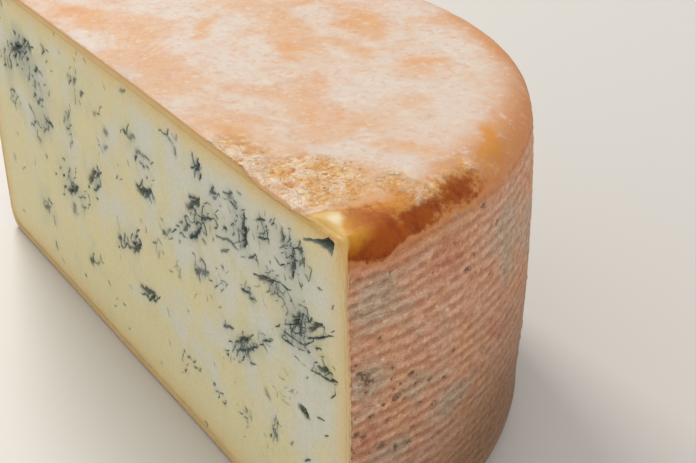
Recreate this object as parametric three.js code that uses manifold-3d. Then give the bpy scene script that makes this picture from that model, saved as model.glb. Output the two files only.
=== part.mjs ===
// Half wheel of blue-veined cheese, stood on its flat base.
//
// Millimetres, +Z up. The origin is the middle of the bounding box, at the base. The straight
// cut through the middle of the wheel looks along -Y and runs along X. The rind curves round
// the other side, towards +Y. The whole half wheel is one solid: its rind, its cut paste and
// the hollows in the cut are one piece of cheese.

import * as THREE from 'three';
import { mergeVertices } from 'three/addons/utils/BufferGeometryUtils.js';
import Module from 'manifold-3d';

const wasm = await Module();
wasm.setup();

// ---- driving dimensions -------------------------------------------------------------------

const WHEEL_RADIUS = 150;        // at the top and bottom of the side
const WHEEL_HEIGHT = 130;
const SIDE_BULGE = 3.3;          // the side stands out this much more at half height
const TOP_EDGE_RADIUS = 11.5;
const BOTTOM_EDGE_RADIUS = 10;

const RIB_PITCH = 3.6;           // ribs left on the side by the mould, one above another
const RIB_DEPTH = 0.7;
const SIDE_WAVE = 0.7;           // slow unevenness of the side, in and out
const TOP_WAVE = 1.0;            // slow unevenness of the top, always downwards

const CUT_WAVE = 0.5;            // the cut face wanders this far, as the knife did
const CUT_CELL = 10;             // spacing of the points on the cut face

const SECTORS = 68;              // faces round a whole wheel
const TOP_RINGS = 9;
const ROUNDING_STEPS = 5;

// The hollow under the top rind, near the corner of the cut: a narrow crack at its inner end
// that opens to a mouth at its outer end.
const HOLLOW = { tip: [127.7, 119.6], mouth: [143.8, 124.6], halfHeight: 2.5, depth: 10 };

// The skin of the top rind hangs over the cut between these two places along it.
const LIP = { from: 98, to: 131, reach: 2.2, thickness: 1.6, root: 5, steps: 18 };

// The corner of the cut and the top is pressed round from here to the end of the cut.
const CORNER_EASE = { from: 127, width: 4.5, steps: 6 };

// Pockets where the blue mould has opened the paste. x runs along the cut, z up, tilt is the
// angle of the pocket's length above the horizontal.
const POCKETS = [
  { x: 122, z: 88, long: 4.6, thick: 1.5, deep: 3.0, tilt: 62 },
  { x: 133, z: 92, long: 5.4, thick: 1.1, deep: 2.4, tilt: 38 },
  { x: 121, z: 108, long: 3.6, thick: 1.3, deep: 2.4, tilt: 70 },
  { x: 115, z: 115, long: 3.2, thick: 1.0, deep: 2.0, tilt: 80 },
  { x: 138, z: 79, long: 5.0, thick: 1.3, deep: 2.6, tilt: 17 },
  { x: 104, z: 94, long: 7.0, thick: 0.9, deep: 2.0, tilt: 18 },
  { x: 91, z: 103, long: 5.0, thick: 1.4, deep: 2.2, tilt: 75 },
  { x: 125, z: 56, long: 3.4, thick: 1.4, deep: 2.2, tilt: 10 },
  { x: 86, z: 61, long: 6.5, thick: 1.5, deep: 2.2, tilt: 38 },
  { x: 54, z: 99, long: 7.5, thick: 1.6, deep: 2.4, tilt: 36 },
  { x: 9, z: 41, long: 7.5, thick: 2.0, deep: 2.4, tilt: 12 },
  { x: 2, z: 57, long: 6.0, thick: 1.8, deep: 2.4, tilt: 40 },
  { x: 14, z: 87, long: 7.0, thick: 1.8, deep: 2.4, tilt: 20 },
  { x: -38, z: 71, long: 7.0, thick: 1.6, deep: 2.2, tilt: 48 },
  { x: -62, z: 55, long: 8.0, thick: 1.8, deep: 2.4, tilt: 30 },
  { x: -112, z: 103, long: 9.0, thick: 2.0, deep: 2.4, tilt: 24 },
];

// ---- shared helpers -----------------------------------------------------------------------

const radians = THREE.MathUtils.degToRad;
const { clamp, lerp, smoothstep } = THREE.MathUtils;

/** A slow, smooth wave between -1 and 1 over space, the same every time. */
function slowWave(x, y, z, phase) {
  return 0.45 * Math.sin(x / 23 + y / 37 + phase)
    + 0.33 * Math.sin(y / 19 - z / 29 + 2.1 * phase)
    + 0.22 * Math.sin(z / 15 + x / 31 - y / 43 + 3.7 * phase);
}

/** Turns a closed geometry into a solid for cutting and joining. */
function solidOf(geometry) {
  const bare = geometry.clone();
  bare.deleteAttribute('normal');
  bare.deleteAttribute('uv');
  const merged = mergeVertices(bare, 1e-4);
  return new wasm.Manifold(new wasm.Mesh({
    numProp: 3,
    vertProperties: new Float32Array(merged.attributes.position.array),
    triVerts: new Uint32Array(merged.index.array),
  }));
}

/** Turns a solid back into a geometry that can be drawn. */
function geometryOf(solid) {
  const mesh = solid.getMesh();
  const geometry = new THREE.BufferGeometry();
  geometry.setAttribute('position', new THREE.BufferAttribute(mesh.vertProperties, 3));
  geometry.setIndex(new THREE.BufferAttribute(mesh.triVerts, 1));
  geometry.computeVertexNormals();
  return geometry;
}

/** Moves every point of a geometry to where move(point) puts it. */
function reshape(geometry, move) {
  const position = geometry.attributes.position;
  const point = new THREE.Vector3();
  for (let i = 0; i < position.count; i += 1) {
    point.fromBufferAttribute(position, i);
    move(point);
    position.setXYZ(i, point.x, point.y, point.z);
  }
  return geometry;
}

// ---- the wheel ----------------------------------------------------------------------------

/** Radius of the side at a height, before its ribs and unevenness. */
function sideRadius(z) {
  const share = clamp(z / WHEEL_HEIGHT, 0, 1);
  return WHEEL_RADIUS + 4 * SIDE_BULGE * share * (1 - share);
}

/** The outline that is turned round the axis: base, lower edge, ribbed side, upper edge, top. */
function wheelProfile() {
  const points = [new THREE.Vector2(0, 0)];
  for (let i = 0; i <= ROUNDING_STEPS; i += 1) {
    const angle = (i / ROUNDING_STEPS) * Math.PI / 2;
    const z = BOTTOM_EDGE_RADIUS * (1 - Math.cos(angle));
    const r = sideRadius(z) - BOTTOM_EDGE_RADIUS * (1 - Math.sin(angle));
    points.push(new THREE.Vector2(r, z));
  }
  const sideTop = WHEEL_HEIGHT - TOP_EDGE_RADIUS;
  const ribs = Math.round((sideTop - BOTTOM_EDGE_RADIUS) / RIB_PITCH);
  const halfPitch = (sideTop - BOTTOM_EDGE_RADIUS) / (2 * ribs);
  for (let i = 1; i < 2 * ribs; i += 1) {
    const z = BOTTOM_EDGE_RADIUS + i * halfPitch;
    const groove = i % 2 === 1 ? RIB_DEPTH : 0;
    points.push(new THREE.Vector2(sideRadius(z) - groove, z));
  }
  for (let i = 0; i <= ROUNDING_STEPS; i += 1) {
    const angle = (i / ROUNDING_STEPS) * Math.PI / 2;
    const z = sideTop + TOP_EDGE_RADIUS * Math.sin(angle);
    const r = sideRadius(z) - TOP_EDGE_RADIUS * (1 - Math.cos(angle));
    points.push(new THREE.Vector2(r, z));
  }
  const flatRadius = points[points.length - 1].x;
  for (let ring = TOP_RINGS - 1; ring >= 1; ring -= 1) {
    points.push(new THREE.Vector2(flatRadius * ring / TOP_RINGS, WHEEL_HEIGHT));
  }
  points.push(new THREE.Vector2(0, WHEEL_HEIGHT));
  return points;
}

/** The whole wheel, uneven as a rind is, with its base left flat. */
function wheelSolid() {
  const geometry = new THREE.LatheGeometry(wheelProfile(), SECTORS);
  geometry.rotateX(Math.PI / 2);
  reshape(geometry, (point) => {
    const radius = Math.hypot(point.x, point.y);
    const height = point.z;
    if (radius > 1) {
      const onSide = smoothstep(height, 0, BOTTOM_EDGE_RADIUS);
      const dent = 0.5 * SIDE_WAVE * (1 - slowWave(point.x, point.y, height, 0.4));
      const scale = (radius - onSide * dent) / radius;
      point.x *= scale;
      point.y *= scale;
    }
    const onTop = smoothstep(height, WHEEL_HEIGHT - TOP_EDGE_RADIUS, WHEEL_HEIGHT);
    point.z -= onTop * 0.5 * TOP_WAVE * (1 - slowWave(point.x, point.y, 0, 1.9));
  });
  return solidOf(geometry);
}

// ---- the cut ------------------------------------------------------------------------------

/** How far the cut face stands back from the straight plane y = 0. */
function cutDepth(x, z) {
  return 0.5 * CUT_WAVE * (1 + slowWave(1.3 * x, 0, 1.6 * z, 5.2));
}

/** Everything that lies behind the cut: a block with one uneven face. */
function behindTheCut() {
  const width = 2.2 * (WHEEL_RADIUS + SIDE_BULGE);
  const height = 1.2 * WHEEL_HEIGHT;
  const depth = 1.2 * (WHEEL_RADIUS + SIDE_BULGE);
  const columns = Math.round(width / CUT_CELL);
  const rows = Math.round(height / CUT_CELL);
  const geometry = new THREE.BoxGeometry(width, depth, height, columns, 1, rows);
  geometry.translate(0, depth / 2, WHEEL_HEIGHT / 2);
  reshape(geometry, (point) => {
    if (point.y < 1) point.y = cutDepth(point.x, point.z);
  });
  return solidOf(geometry);
}

/** A closed skin round a row of closed cross-sections, all with the same number of points. */
function loft(sections) {
  const size = sections[0].length;
  const positions = sections.flat().flatMap((point) => point.toArray());
  const faces = [];
  for (let s = 0; s < sections.length - 1; s += 1) {
    for (let i = 0; i < size; i += 1) {
      const next = (i + 1) % size;
      const a = s * size + i;
      const b = s * size + next;
      faces.push(a, b, b + size, a, b + size, a + size);
    }
  }
  const last = (sections.length - 1) * size;
  for (let i = 1; i < size - 1; i += 1) {
    faces.push(0, i + 1, i, last, last + i, last + i + 1);
  }
  const geometry = new THREE.BufferGeometry();
  geometry.setAttribute('position', new THREE.Float32BufferAttribute(positions, 3));
  geometry.setIndex(faces);
  return geometry;
}

/** The thin skin of the top rind, where it hangs a little over the cut. */
function rindLip() {
  const sections = [];
  for (let step = 0; step <= LIP.steps; step += 1) {
    const share = step / LIP.steps;
    const x = lerp(LIP.from, LIP.to, share);
    const swell = Math.sin(Math.PI * share) ** 0.6;
    const ragged = 0.75 + 0.25 * Math.sin(x / 1.9) * Math.sin(x / 4.7 + 1);
    const reach = Math.max(0.05, LIP.reach * swell * ragged);
    const top = WHEEL_HEIGHT - 0.5 * TOP_WAVE - 0.9 * swell;
    sections.push([
      new THREE.Vector3(x, LIP.root, top - 0.4),
      new THREE.Vector3(x, 0, top),
      new THREE.Vector3(x, -reach, top - 0.7),
      new THREE.Vector3(x, -0.9 * reach, top - 0.7 - 0.5 * LIP.thickness),
      new THREE.Vector3(x, 0, top - LIP.thickness - 0.8 * swell),
      new THREE.Vector3(x, LIP.root, top - 2 * LIP.thickness),
    ]);
  }
  return solidOf(loft(sections));
}

/** The hollow near the corner: it widens from a crack to its mouth and goes deep behind it. */
function cornerHollow() {
  const [tipX, tipZ] = HOLLOW.tip;
  const [mouthX, mouthZ] = HOLLOW.mouth;
  const sections = [];
  const steps = 7;
  for (let step = 0; step <= steps; step += 1) {
    const share = step / steps;
    const open = 0.06 + 0.94 * share ** 1.4 * (step === steps ? 0.72 : 1);
    const half = HOLLOW.halfHeight * open;
    const deep = HOLLOW.depth * open ** 0.7;
    const x = lerp(tipX, mouthX, share);
    const z = lerp(tipZ, mouthZ, share);
    sections.push([
      new THREE.Vector3(x, -3, z + half),
      new THREE.Vector3(x, -3, z - 1.2 * half),
      new THREE.Vector3(x, 0.55 * deep, z - half),
      new THREE.Vector3(x, deep, z + 0.1 * half),
      new THREE.Vector3(x, 0.6 * deep, z + 0.8 * half),
    ]);
  }
  return solidOf(loft(sections));
}

/** What is pressed off the edge between the cut and the top, growing towards the corner. */
function cornerEase() {
  const sections = [];
  const end = WHEEL_RADIUS + SIDE_BULGE;
  const above = WHEEL_HEIGHT + 2;
  for (let step = 0; step <= CORNER_EASE.steps; step += 1) {
    const share = step / CORNER_EASE.steps;
    const x = lerp(CORNER_EASE.from, end, share);
    const width = lerp(0.4, CORNER_EASE.width, smoothstep(share, 0, 1));
    const edge = WHEEL_HEIGHT - 0.5 * TOP_WAVE;
    sections.push([
      new THREE.Vector3(x, -1, above),
      new THREE.Vector3(x, -1, edge - width - 1),
      new THREE.Vector3(x, 0.4 * width, edge - 0.45 * width),
      new THREE.Vector3(x, width + 1, above),
    ]);
  }
  return solidOf(loft(sections));
}

/** One long pocket in the cut, drawn out along its tilt. */
function veinPocket({ x, z, long, thick, deep, tilt }) {
  const geometry = new THREE.SphereGeometry(1, 8, 5);
  geometry.rotateX(Math.PI / 2);
  geometry.scale(long, deep, thick);
  geometry.rotateY(-radians(tilt));
  geometry.translate(x, cutDepth(x, z), z);
  return solidOf(geometry);
}

// ---- the half wheel -----------------------------------------------------------------------

/** The half wheel, with the middle of its bounding box over the origin, at the base. */
function cheeseGeometry() {
  let cheese = wheelSolid().intersect(behindTheCut()).add(rindLip());
  for (const hollow of [cornerEase(), cornerHollow(), ...POCKETS.map(veinPocket)]) {
    cheese = cheese.subtract(hollow);
  }
  const geometry = geometryOf(cheese);
  geometry.computeBoundingBox();
  const { min, max } = geometry.boundingBox;
  geometry.translate(-(min.x + max.x) / 2, -(min.y + max.y) / 2, -min.z);
  return geometry;
}

const cheese = new THREE.Mesh(
  cheeseGeometry(),
  new THREE.MeshStandardMaterial({ color: '#cdbb93', roughness: 0.7, metalness: 0 }),
);
cheese.name = 'cheese';

const part = new THREE.Group();
part.add(cheese);

export default part;
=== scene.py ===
"""A half wheel of blue-veined cheese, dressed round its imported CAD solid.

The rind and the paste are two closed meshes. White crumbs and golden flakes are strewn on the
rind near the corner. Shapes are worked out in millimetres about the wheel's axis, with the cut on the plane
y = 0, x along the cut and z up, and are moved to the frame, in metres, at the end.
"""

import math
import random

import bpy
import numpy as np
from bpy.props import FloatProperty, FloatVectorProperty, IntProperty, PointerProperty
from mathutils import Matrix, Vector, kdtree
from mathutils.geometry import delaunay_2d_cdt


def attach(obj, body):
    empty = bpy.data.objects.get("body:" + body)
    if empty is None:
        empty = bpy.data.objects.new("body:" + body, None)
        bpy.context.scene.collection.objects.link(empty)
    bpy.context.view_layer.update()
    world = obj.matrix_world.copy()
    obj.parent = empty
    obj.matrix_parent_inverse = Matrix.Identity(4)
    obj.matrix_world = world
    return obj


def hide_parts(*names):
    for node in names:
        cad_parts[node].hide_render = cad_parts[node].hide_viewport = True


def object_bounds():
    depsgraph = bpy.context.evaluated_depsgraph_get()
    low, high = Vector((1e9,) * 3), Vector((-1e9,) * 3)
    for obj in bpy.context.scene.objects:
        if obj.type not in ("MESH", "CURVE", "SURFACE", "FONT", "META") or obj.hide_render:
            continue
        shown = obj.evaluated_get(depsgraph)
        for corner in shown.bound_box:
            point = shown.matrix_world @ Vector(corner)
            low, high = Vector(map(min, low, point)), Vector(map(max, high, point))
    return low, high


bl_info = {
    "name": "Half wheel of blue cheese",
    "version": (1, 0, 0),
    "blender": (4, 5, 0),
    "location": "View3D > Sidebar > Cheese",
    "description": "Makes the rind, the veined paste and the crumbs of a half wheel of blue cheese",
    "category": "Object",
}

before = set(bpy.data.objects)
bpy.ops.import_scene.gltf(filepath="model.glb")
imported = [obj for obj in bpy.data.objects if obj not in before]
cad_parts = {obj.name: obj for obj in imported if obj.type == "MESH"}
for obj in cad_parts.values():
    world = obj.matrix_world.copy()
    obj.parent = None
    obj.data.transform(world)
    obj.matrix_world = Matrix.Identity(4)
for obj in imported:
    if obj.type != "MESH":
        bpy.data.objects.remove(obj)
CAD_LOW, CAD_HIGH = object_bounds()

MM = 0.001

# ---- the wheel's form, in millimetres ----

WHEEL_RADIUS = 150.0
WHEEL_HEIGHT = 130.0
SIDE_BULGE = 3.3
TOP_ROUND = 11.5
BASE_ROUND = 10.0
SIDE_WAVE = 0.7
TOP_WAVE = 1.0
CUT_WAVE = 0.5
SIDE_TOP = WHEEL_HEIGHT - TOP_ROUND
LIP_STANDS = 1.846  # how far the hanging skin reaches in front of the cut plane

# Where the wheel's axis stands in the frame, in millimetres.
AXIS = Vector(((CAD_LOW.x + CAD_HIGH.x) / 2 / MM + 0.014, CAD_LOW.y / MM + LIP_STANDS, 0.0))

HOLLOW = {"tip": (127.2, 119.6), "mouth": (143.4, 124.6), "half": 3.6, "deep": 9.6}
LIP = {"start": 92.0, "end": 133.0, "reach": 1.75, "droop": 1.3, "thick": 0.9, "back": 8.0}
RIB_PITCH = 4.15
CORNER_START = 127.0
CORNER_WIDTH = 6.0  # width of the pressed edge between the cut and the outside, at the corner
CORNER_ROUND = 4.0  # the top edge's rounding at the corner, where it stands almost square

# Pockets that the mould has opened: x, z, half length, half thickness, depth, tilt in degrees.
POCKETS = [
    (122, 88, 4.6, 1.5, 3.0, 62), (133, 92, 5.4, 1.1, 2.4, 38), (121, 108, 3.6, 1.3, 2.4, 70),
    (115, 115, 3.2, 1.0, 2.0, 80), (138, 79, 5.0, 1.3, 2.6, 17), (104, 94, 7.0, 0.9, 2.0, 18),
    (91, 103, 5.0, 1.4, 2.2, 75), (125, 56, 3.4, 1.4, 2.2, 10), (86, 61, 6.5, 1.5, 2.2, 38),
    (54, 99, 7.5, 1.6, 2.4, 36), (9, 41, 7.5, 2.0, 2.4, 12), (2, 57, 6.0, 1.8, 2.4, 40),
    (14, 87, 7.0, 1.8, 2.4, 20), (-38, 71, 7.0, 1.6, 2.2, 48), (-62, 55, 8.0, 1.8, 2.4, 30),
    (-112, 103, 9.0, 2.0, 2.4, 24),
]

# Veins near the corner, listed one by one: half width, darkness, olive share, then x, z of each bend.
VEINS = [
    (0.6, 0.9, 0.1, 99, 113, 102, 115, 105, 116), (0.65, 1.0, 0.1, 99.7, 107.3, 103, 108.6, 106.7, 110),
    (0.5, 0.8, 0.1, 105.5, 112.6, 106.6, 109.6), (0.3, 0.7, 0.0, 107.3, 116, 109.3, 118.3),
    (0.6, 1.0, 0.0, 114.5, 117, 115, 115.2, 115.7, 113), (0.35, 0.9, 0.0, 115.7, 113.9, 117.3, 116.3),
    (0.4, 0.8, 0.0, 118, 114, 120, 116), (0.5, 1.0, 0.4, 121.3, 113.6, 124, 115, 127.3, 115.6),
    (0.35, 0.9, 0.2, 127.3, 115.6, 126.7, 112.3, 125.3, 109.6), (0.8, 1.0, 0.5, 119.3, 110.8, 123.3, 110.3),
    (0.8, 1.0, 0.0, 121.3, 107.6, 121, 103), (0.45, 0.6, 0.0, 129.3, 111.6, 132, 111.9, 130, 106.3),
    (0.45, 0.7, 0.0, 128, 108.3, 130, 106.3), (0.4, 1.0, 0.6, 126.7, 104.3, 126, 102.3),
    (0.6, 0.6, 1.0, 134.7, 106.8, 137.3, 107.3), (0.5, 0.9, 0.1, 109.7, 105.3, 113.3, 103.9, 116.7, 105.9),
    (0.4, 0.8, 0.0, 116, 101.9, 116.7, 99.9), (0.6, 0.75, 0.0, 96, 92.3, 101, 93.7, 106, 95.3, 113.3, 97.6),
    (0.55, 0.95, 0.0, 113.3, 97.6, 116.7, 96.9, 119.3, 97.8),
    (0.4, 0.7, 0.0, 116.7, 96.9, 119.3, 94.9, 121.7, 92.3),
    (0.45, 0.65, 0.0, 108.7, 92.3, 114, 92.3, 118, 88.9),
    (0.4, 0.9, 0.0, 124.3, 95.6, 128.7, 96.3, 129.3, 92.3, 131, 91.6),
    (0.35, 1.0, 0.0, 119.7, 88.3, 125.3, 91.5), (1.1, 1.0, 0.0, 125.2, 89.4, 124.2, 86.4, 124.3, 84.4),
    (0.4, 0.9, 0.0, 114.7, 82.9, 122, 86.9), (0.45, 0.8, 0.0, 113.3, 79.9, 119.3, 80.6),
    (0.4, 0.8, 0.0, 119.3, 80.6, 126.7, 81.6, 132, 86.3),
    (0.7, 1.0, 0.0, 128.7, 85.3, 132.7, 87.6, 136.7, 90.3, 143.3, 94.3),
    (0.35, 0.8, 0.0, 136, 93.6, 138.7, 94.9), (0.3, 0.8, 0.0, 142, 94.9, 144, 96.6),
    (0.5, 0.8, 0.0, 132.7, 84.3, 136.7, 85.9), (0.35, 0.6, 0.1, 136, 82.8, 138, 83.9),
    (0.7, 0.9, 0.1, 128, 80.3, 130, 80.9), (0.4, 0.6, 0.1, 122.7, 78.3, 126.7, 79.6),
    (0.6, 1.0, 0.2, 113.3, 76.9, 119.3, 77.6), (0.4, 0.7, 0.5, 119.3, 74.3, 124, 74.3),
    (0.35, 0.6, 0.5, 125.3, 73.9, 127.3, 74.3),
    (0.6, 1.0, 0.5, 130, 74.3, 134.7, 75.6, 141.3, 76.9, 145.3, 78.6),
    (1.0, 1.0, 0.4, 141.5, 77.5, 143.6, 78.3), (0.4, 0.8, 0.5, 144, 76.9, 144, 73.6, 141.3, 70.6),
    (0.6, 0.8, 0.7, 133.3, 58.3, 138, 59.9), (0.4, 0.8, 0.7, 137.3, 53.6, 140, 55.3),
    (1.0, 0.9, 0.7, 122.7, 55.4, 129.3, 54.9), (0.4, 0.4, 0.8, 110, 60.3, 114, 61.3),
    (0.8, 0.75, 0.0, 91.3, 112.9, 90.7, 104.3, 89.3, 101.6),
    (0.6, 0.7, 0.0, 92.7, 96.3, 98, 100.3, 99.3, 96.9),
    (0.7, 0.6, 0.0, 71.3, 94.3, 79.3, 96.9, 86, 96.3), (0.6, 0.6, 0.0, 73.3, 89.6, 80, 93.6),
    (0.75, 0.8, 0.1, 87, 81.6, 92.7, 82.9), (0.45, 0.7, 0.1, 92.7, 81.9, 97.3, 82.3),
    (0.9, 0.8, 0.0, 100.7, 68.9, 105.3, 71.6), (0.8, 0.7, 0.0, 72, 58.9, 80, 62.9),
    (0.9, 0.8, 0.0, 84, 55.6, 90, 59.6, 96, 63.6), (0.5, 0.7, 0.0, 90.7, 54.3, 95.3, 56.3),
    (1.3, 1.0, 0.0, 57.5, 114, 61.3, 117), (0.9, 0.7, 0.0, 68, 109.6, 72.7, 110.9),
    (0.7, 0.7, 0.6, 80.7, 114.3, 84, 116.3), (0.6, 0.7, 0.2, 82, 112.3, 86.3, 111.9),
    (0.5, 0.5, 0.5, 87.3, 118.3, 90.7, 118.3), (1.0, 0.8, 0.0, 60, 95.6, 67.3, 99.6),
    (1.2, 0.9, 0.0, 50, 83.6, 54, 86.9, 60, 92.3), (1.0, 0.7, 0.0, 51.3, 100.3, 58.7, 102.9),
    (1.4, 0.6, 0.0, 54, 72.9, 63.3, 76.3), (0.6, 0.9, 0.5, 125, 35.6, 129, 38.6),
]

# Places where the mould has grown: x, z, half length, half width, tilt, strokes, darkness, olive.
CLUSTERS = [
    (122, 110, 9, 9, 60, 26, 0.95, 0.25), (124, 88, 11, 9, 40, 34, 0.95, 0.05),
    (108, 96, 12, 7, 20, 20, 0.7, 0.0), (138, 79, 8, 4, 20, 9, 0.9, 0.6), (117, 80, 8, 4, 10, 12, 0.8, 0.3),
    (104, 112, 7, 5, 40, 11, 0.85, 0.1), (88, 103, 10, 9, 50, 26, 0.75, 0.0),
    (66, 97, 13, 6, 30, 22, 0.75, 0.0), (50, 90, 21, 6, 38, 44, 0.9, 0.0),
    (59, 115, 5, 5, 60, 12, 1.0, 0.0), (72, 110, 6, 3, 10, 8, 0.7, 0.0), (83, 113, 5, 4, 10, 8, 0.7, 0.4),
    (56, 75, 9, 6, 20, 20, 0.65, 0.0), (88, 60, 19, 5, 42, 36, 0.85, 0.0), (106, 36, 11, 4, 68, 15, 0.8, 0.3),
    (66, 27, 5, 5, 40, 9, 0.75, 0.3), (42, 27, 10, 4, 25, 12, 0.6, 0.1), (103, 70, 6, 4, 30, 6, 0.7, 0.2),
    (92, 83, 9, 3, 10, 8, 0.75, 0.1), (38, 118, 8, 3, 20, 9, 0.6, 0.6), (17, 100, 8, 4, 20, 14, 0.75, 0.1),
    (16, 88, 8, 6, 30, 22, 0.85, 0.0), (5, 107, 8, 3, 10, 10, 0.7, 0.5), (-10, 52, 7, 4, 35, 14, 0.85, 0.0),
    (2, 61, 8, 5, 45, 20, 0.9, 0.0), (10, 41, 10, 4.5, 18, 26, 1.0, 0.2), (-34, 71, 12, 6, 48, 24, 0.85, 0.1),
    (-46, 107, 9, 10, 60, 24, 0.75, 0.1), (-66, 60, 15, 8, 25, 36, 0.8, 0.1),
    (-70, 48, 10, 6, 20, 16, 0.7, 0.2), (-86, 76, 9, 5, 15, 14, 0.75, 0.2),
    (-99, 71, 8, 5, 15, 12, 0.7, 0.2), (-107, 104, 18, 8, 24, 52, 1.0, 0.1),
    (-78, 112, 10, 5, 20, 12, 0.65, 0.2), (-24, 106, 6, 4, 30, 7, 0.6, 0.4), (36, 64, 8, 4, 30, 8, 0.5, 0.2),
    (-42, 31, 9, 4, 35, 11, 0.65, 0.7), (-132, 42, 7, 4, 20, 7, 0.6, 0.5), (-96, 34, 9, 5, 25, 12, 0.65, 0.4),
    (-122, 76, 8, 5, 40, 12, 0.7, 0.2), (128, 27, 7, 6, 30, 11, 0.8, 0.6), (86, 30, 8, 4, 30, 9, 0.65, 0.4),
    (-20, 22, 8, 3, 20, 8, 0.6, 0.5), (20, 66, 7, 5, 35, 6, 0.5, 0.1), (-8, 84, 7, 4, 30, 7, 0.5, 0.2),
    (114, 57, 14, 7, 25, 10, 0.45, 0.8), (-92, 94, 16, 11, 20, 40, 0.75, 0.1),
    (-60, 84, 10, 9, 60, 18, 0.6, 0.2),
    (-128, 96, 7, 10, 60, 16, 0.7, 0.2), (-48, 56, 9, 6, 40, 16, 0.7, 0.1), (-24, 88, 8, 5, 60, 8, 0.5, 0.2),
    (30, 78, 10, 5, 40, 12, 0.6, 0.0), (72, 78, 9, 6, 50, 14, 0.6, 0.0),
]
VEIN_DENSITY = 1.8  # how many of a cluster's seams carry mould

# Patches of the top: x, y, half sizes, turn in degrees, and strength of the attribute named.
TOP_PATCHES = {
    "bloom": [
        (34, 120, 18, 11, -25, 1.0), (86, 86, 27, 15, -28, 1.0), (12, 38, 34, 9, 6, 1.0),
        (-12, 92, 16, 12, 0, 1.0), (52, 26, 22, 8, 5, 0.8), (-52, 46, 18, 8, 10, 1.0),
        (-60, 100, 26, 14, 20, 0.9), (-100, 60, 18, 14, 0, 0.8), (80, 25, 14, 8, -10, 0.55),
        (-100, 18, 20, 7, 0, 0.7), (60, 62, 22, 7, -12, 0.5)],
    "orange": [
        (117, 18, 19, 22, 10, 1.1), (68, 9, 11, 7, 0, 0.9), (8, 66, 13, 9, 0, 0.8),
        (-14, 20, 26, 11, 0, 0.45),
        (6, 104, 26, 9, -35, 0.75), (-26, 50, 14, 8, -40, 0.75), (50, 103, 8, 8, 0, 0.35),
        (-78, 76, 13, 10, 0, 0.7), (-70, 14, 20, 9, 0, 0.7), (28, 84, 10, 6, -20, 0.6),
        (-120, 30, 12, 20, 10, 0.6), (66, 40, 6, 4, 0, 0.55), (-30, 128, 24, 9, 8, 0.7),
        (-96, 100, 16, 10, 40, 0.7), (110, 52, 8, 16, -30, 0.5)],
    # amber: the rim's own amber, partly a painted highlight
    "amber": [(121, 74, 6, 19, 36, 1.2), (136, 28, 9, 13, 15, 1.1), (133, 52, 8, 14, 22, 0.5)],
}
# More patches of the top: the burnt patch where it comes over the rim, the craggy crust, its
# golden flakes and white crumbs, and the painted cream highlight on the bare paste at the corner.
CORNER_BURNT = [(148, 13, 17, 15, 0, 1.5), (144, 31, 5, 17, 16, 0.9), (138, 50, 7, 16, 22, 0.7)]
CRUST = [(112, 12, 25, 24, 10, 1.0), (82, 5, 26, 13, 0, 0.6), (128, 34, 16, 10, 0, 0.6),
         (137, 40, 9, 46, 15, 0.5)]
GOLDEN_FLAKES = [(112, 15, 21, 21, 10, 1.0)]
WHITE_CRUMBS = [(108, 27, 7, 4.5, 20, 1.0), (125, 34, 8, 5, -20, 1.0), (112, 17, 5, 4, 0, 0.8),
                (96, 5, 11, 5, 0, 1.0), (117, 5, 10, 4.5, 0, 0.8), (86, 14, 7, 5, 0, 0.6)]
CORNER_HIGHLIGHT = [(136.2, 6.0, 5, 3.2, -33, 1.1)]
# Patches of the side: arc length from the near end of the cut, height, half sizes, turn, strength.
SIDE_PATCHES = {
    "burnt": [(4, 127, 20, 6, 0, 1.8), (28, 128, 26, 4, -8, 0.9), (420, 124, 30, 5, 6, 0.5),
              (345, 125, 20, 4, -6, 0.45), (258, 124, 34, 5, 4, 0.5), (160, 125, 24, 4, 0, 0.4)],
    "umber": [
        (78, 26, 48, 30, -22, 1.0), (160, 12, 60, 16, 0, 0.8), (250, 30, 50, 16, 8, 0.7),
        (360, 16, 70, 18, 0, 0.8), (44, 84, 7, 3, -10, 0.5), (310, 112, 40, 8, 0, 0.6),
        (20, 14, 24, 10, 0, 0.6)],
    "grey": [
        (11, 106, 12, 11, 0, 1.1), (8, 80, 10, 9, 0, 1.0), (45, 55, 11, 7, 0, 0.9), (84, 96, 15, 17, 0, 1.0),
        (122, 84, 34, 20, -16, 1.1), (160, 52, 26, 20, -10, 0.8), (27, 70, 9, 7, 0, 0.6),
        (18, 50, 12, 5, 0, 0.8), (232, 88, 40, 22, 10, 0.9), (310, 60, 34, 24, -10, 0.8),
        (372, 98, 32, 16, 0, 0.9), (440, 66, 22, 20, 0, 0.9), (200, 112, 22, 8, 0, 0.7),
        (44, 122, 10, 4, 0, 0.6)],
    "pink": [
        (43, 110, 12, 9, 0, 1.2), (76, 70, 18, 6, -22, 1.0), (14, 119, 22, 6, 0, 1.1), (6, 58, 8, 7, 0, 0.8),
        (100, 112, 12, 3, -25, 0.7), (150, 98, 24, 5, -22, 0.7), (180, 26, 24, 8, -20, 0.8),
        (268, 62, 22, 10, 0, 0.8), (338, 104, 26, 8, 10, 0.7), (400, 44, 24, 12, 0, 0.8),
        (455, 108, 12, 12, 0, 0.8), (218, 66, 14, 8, 0, 0.6)],
}
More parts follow.
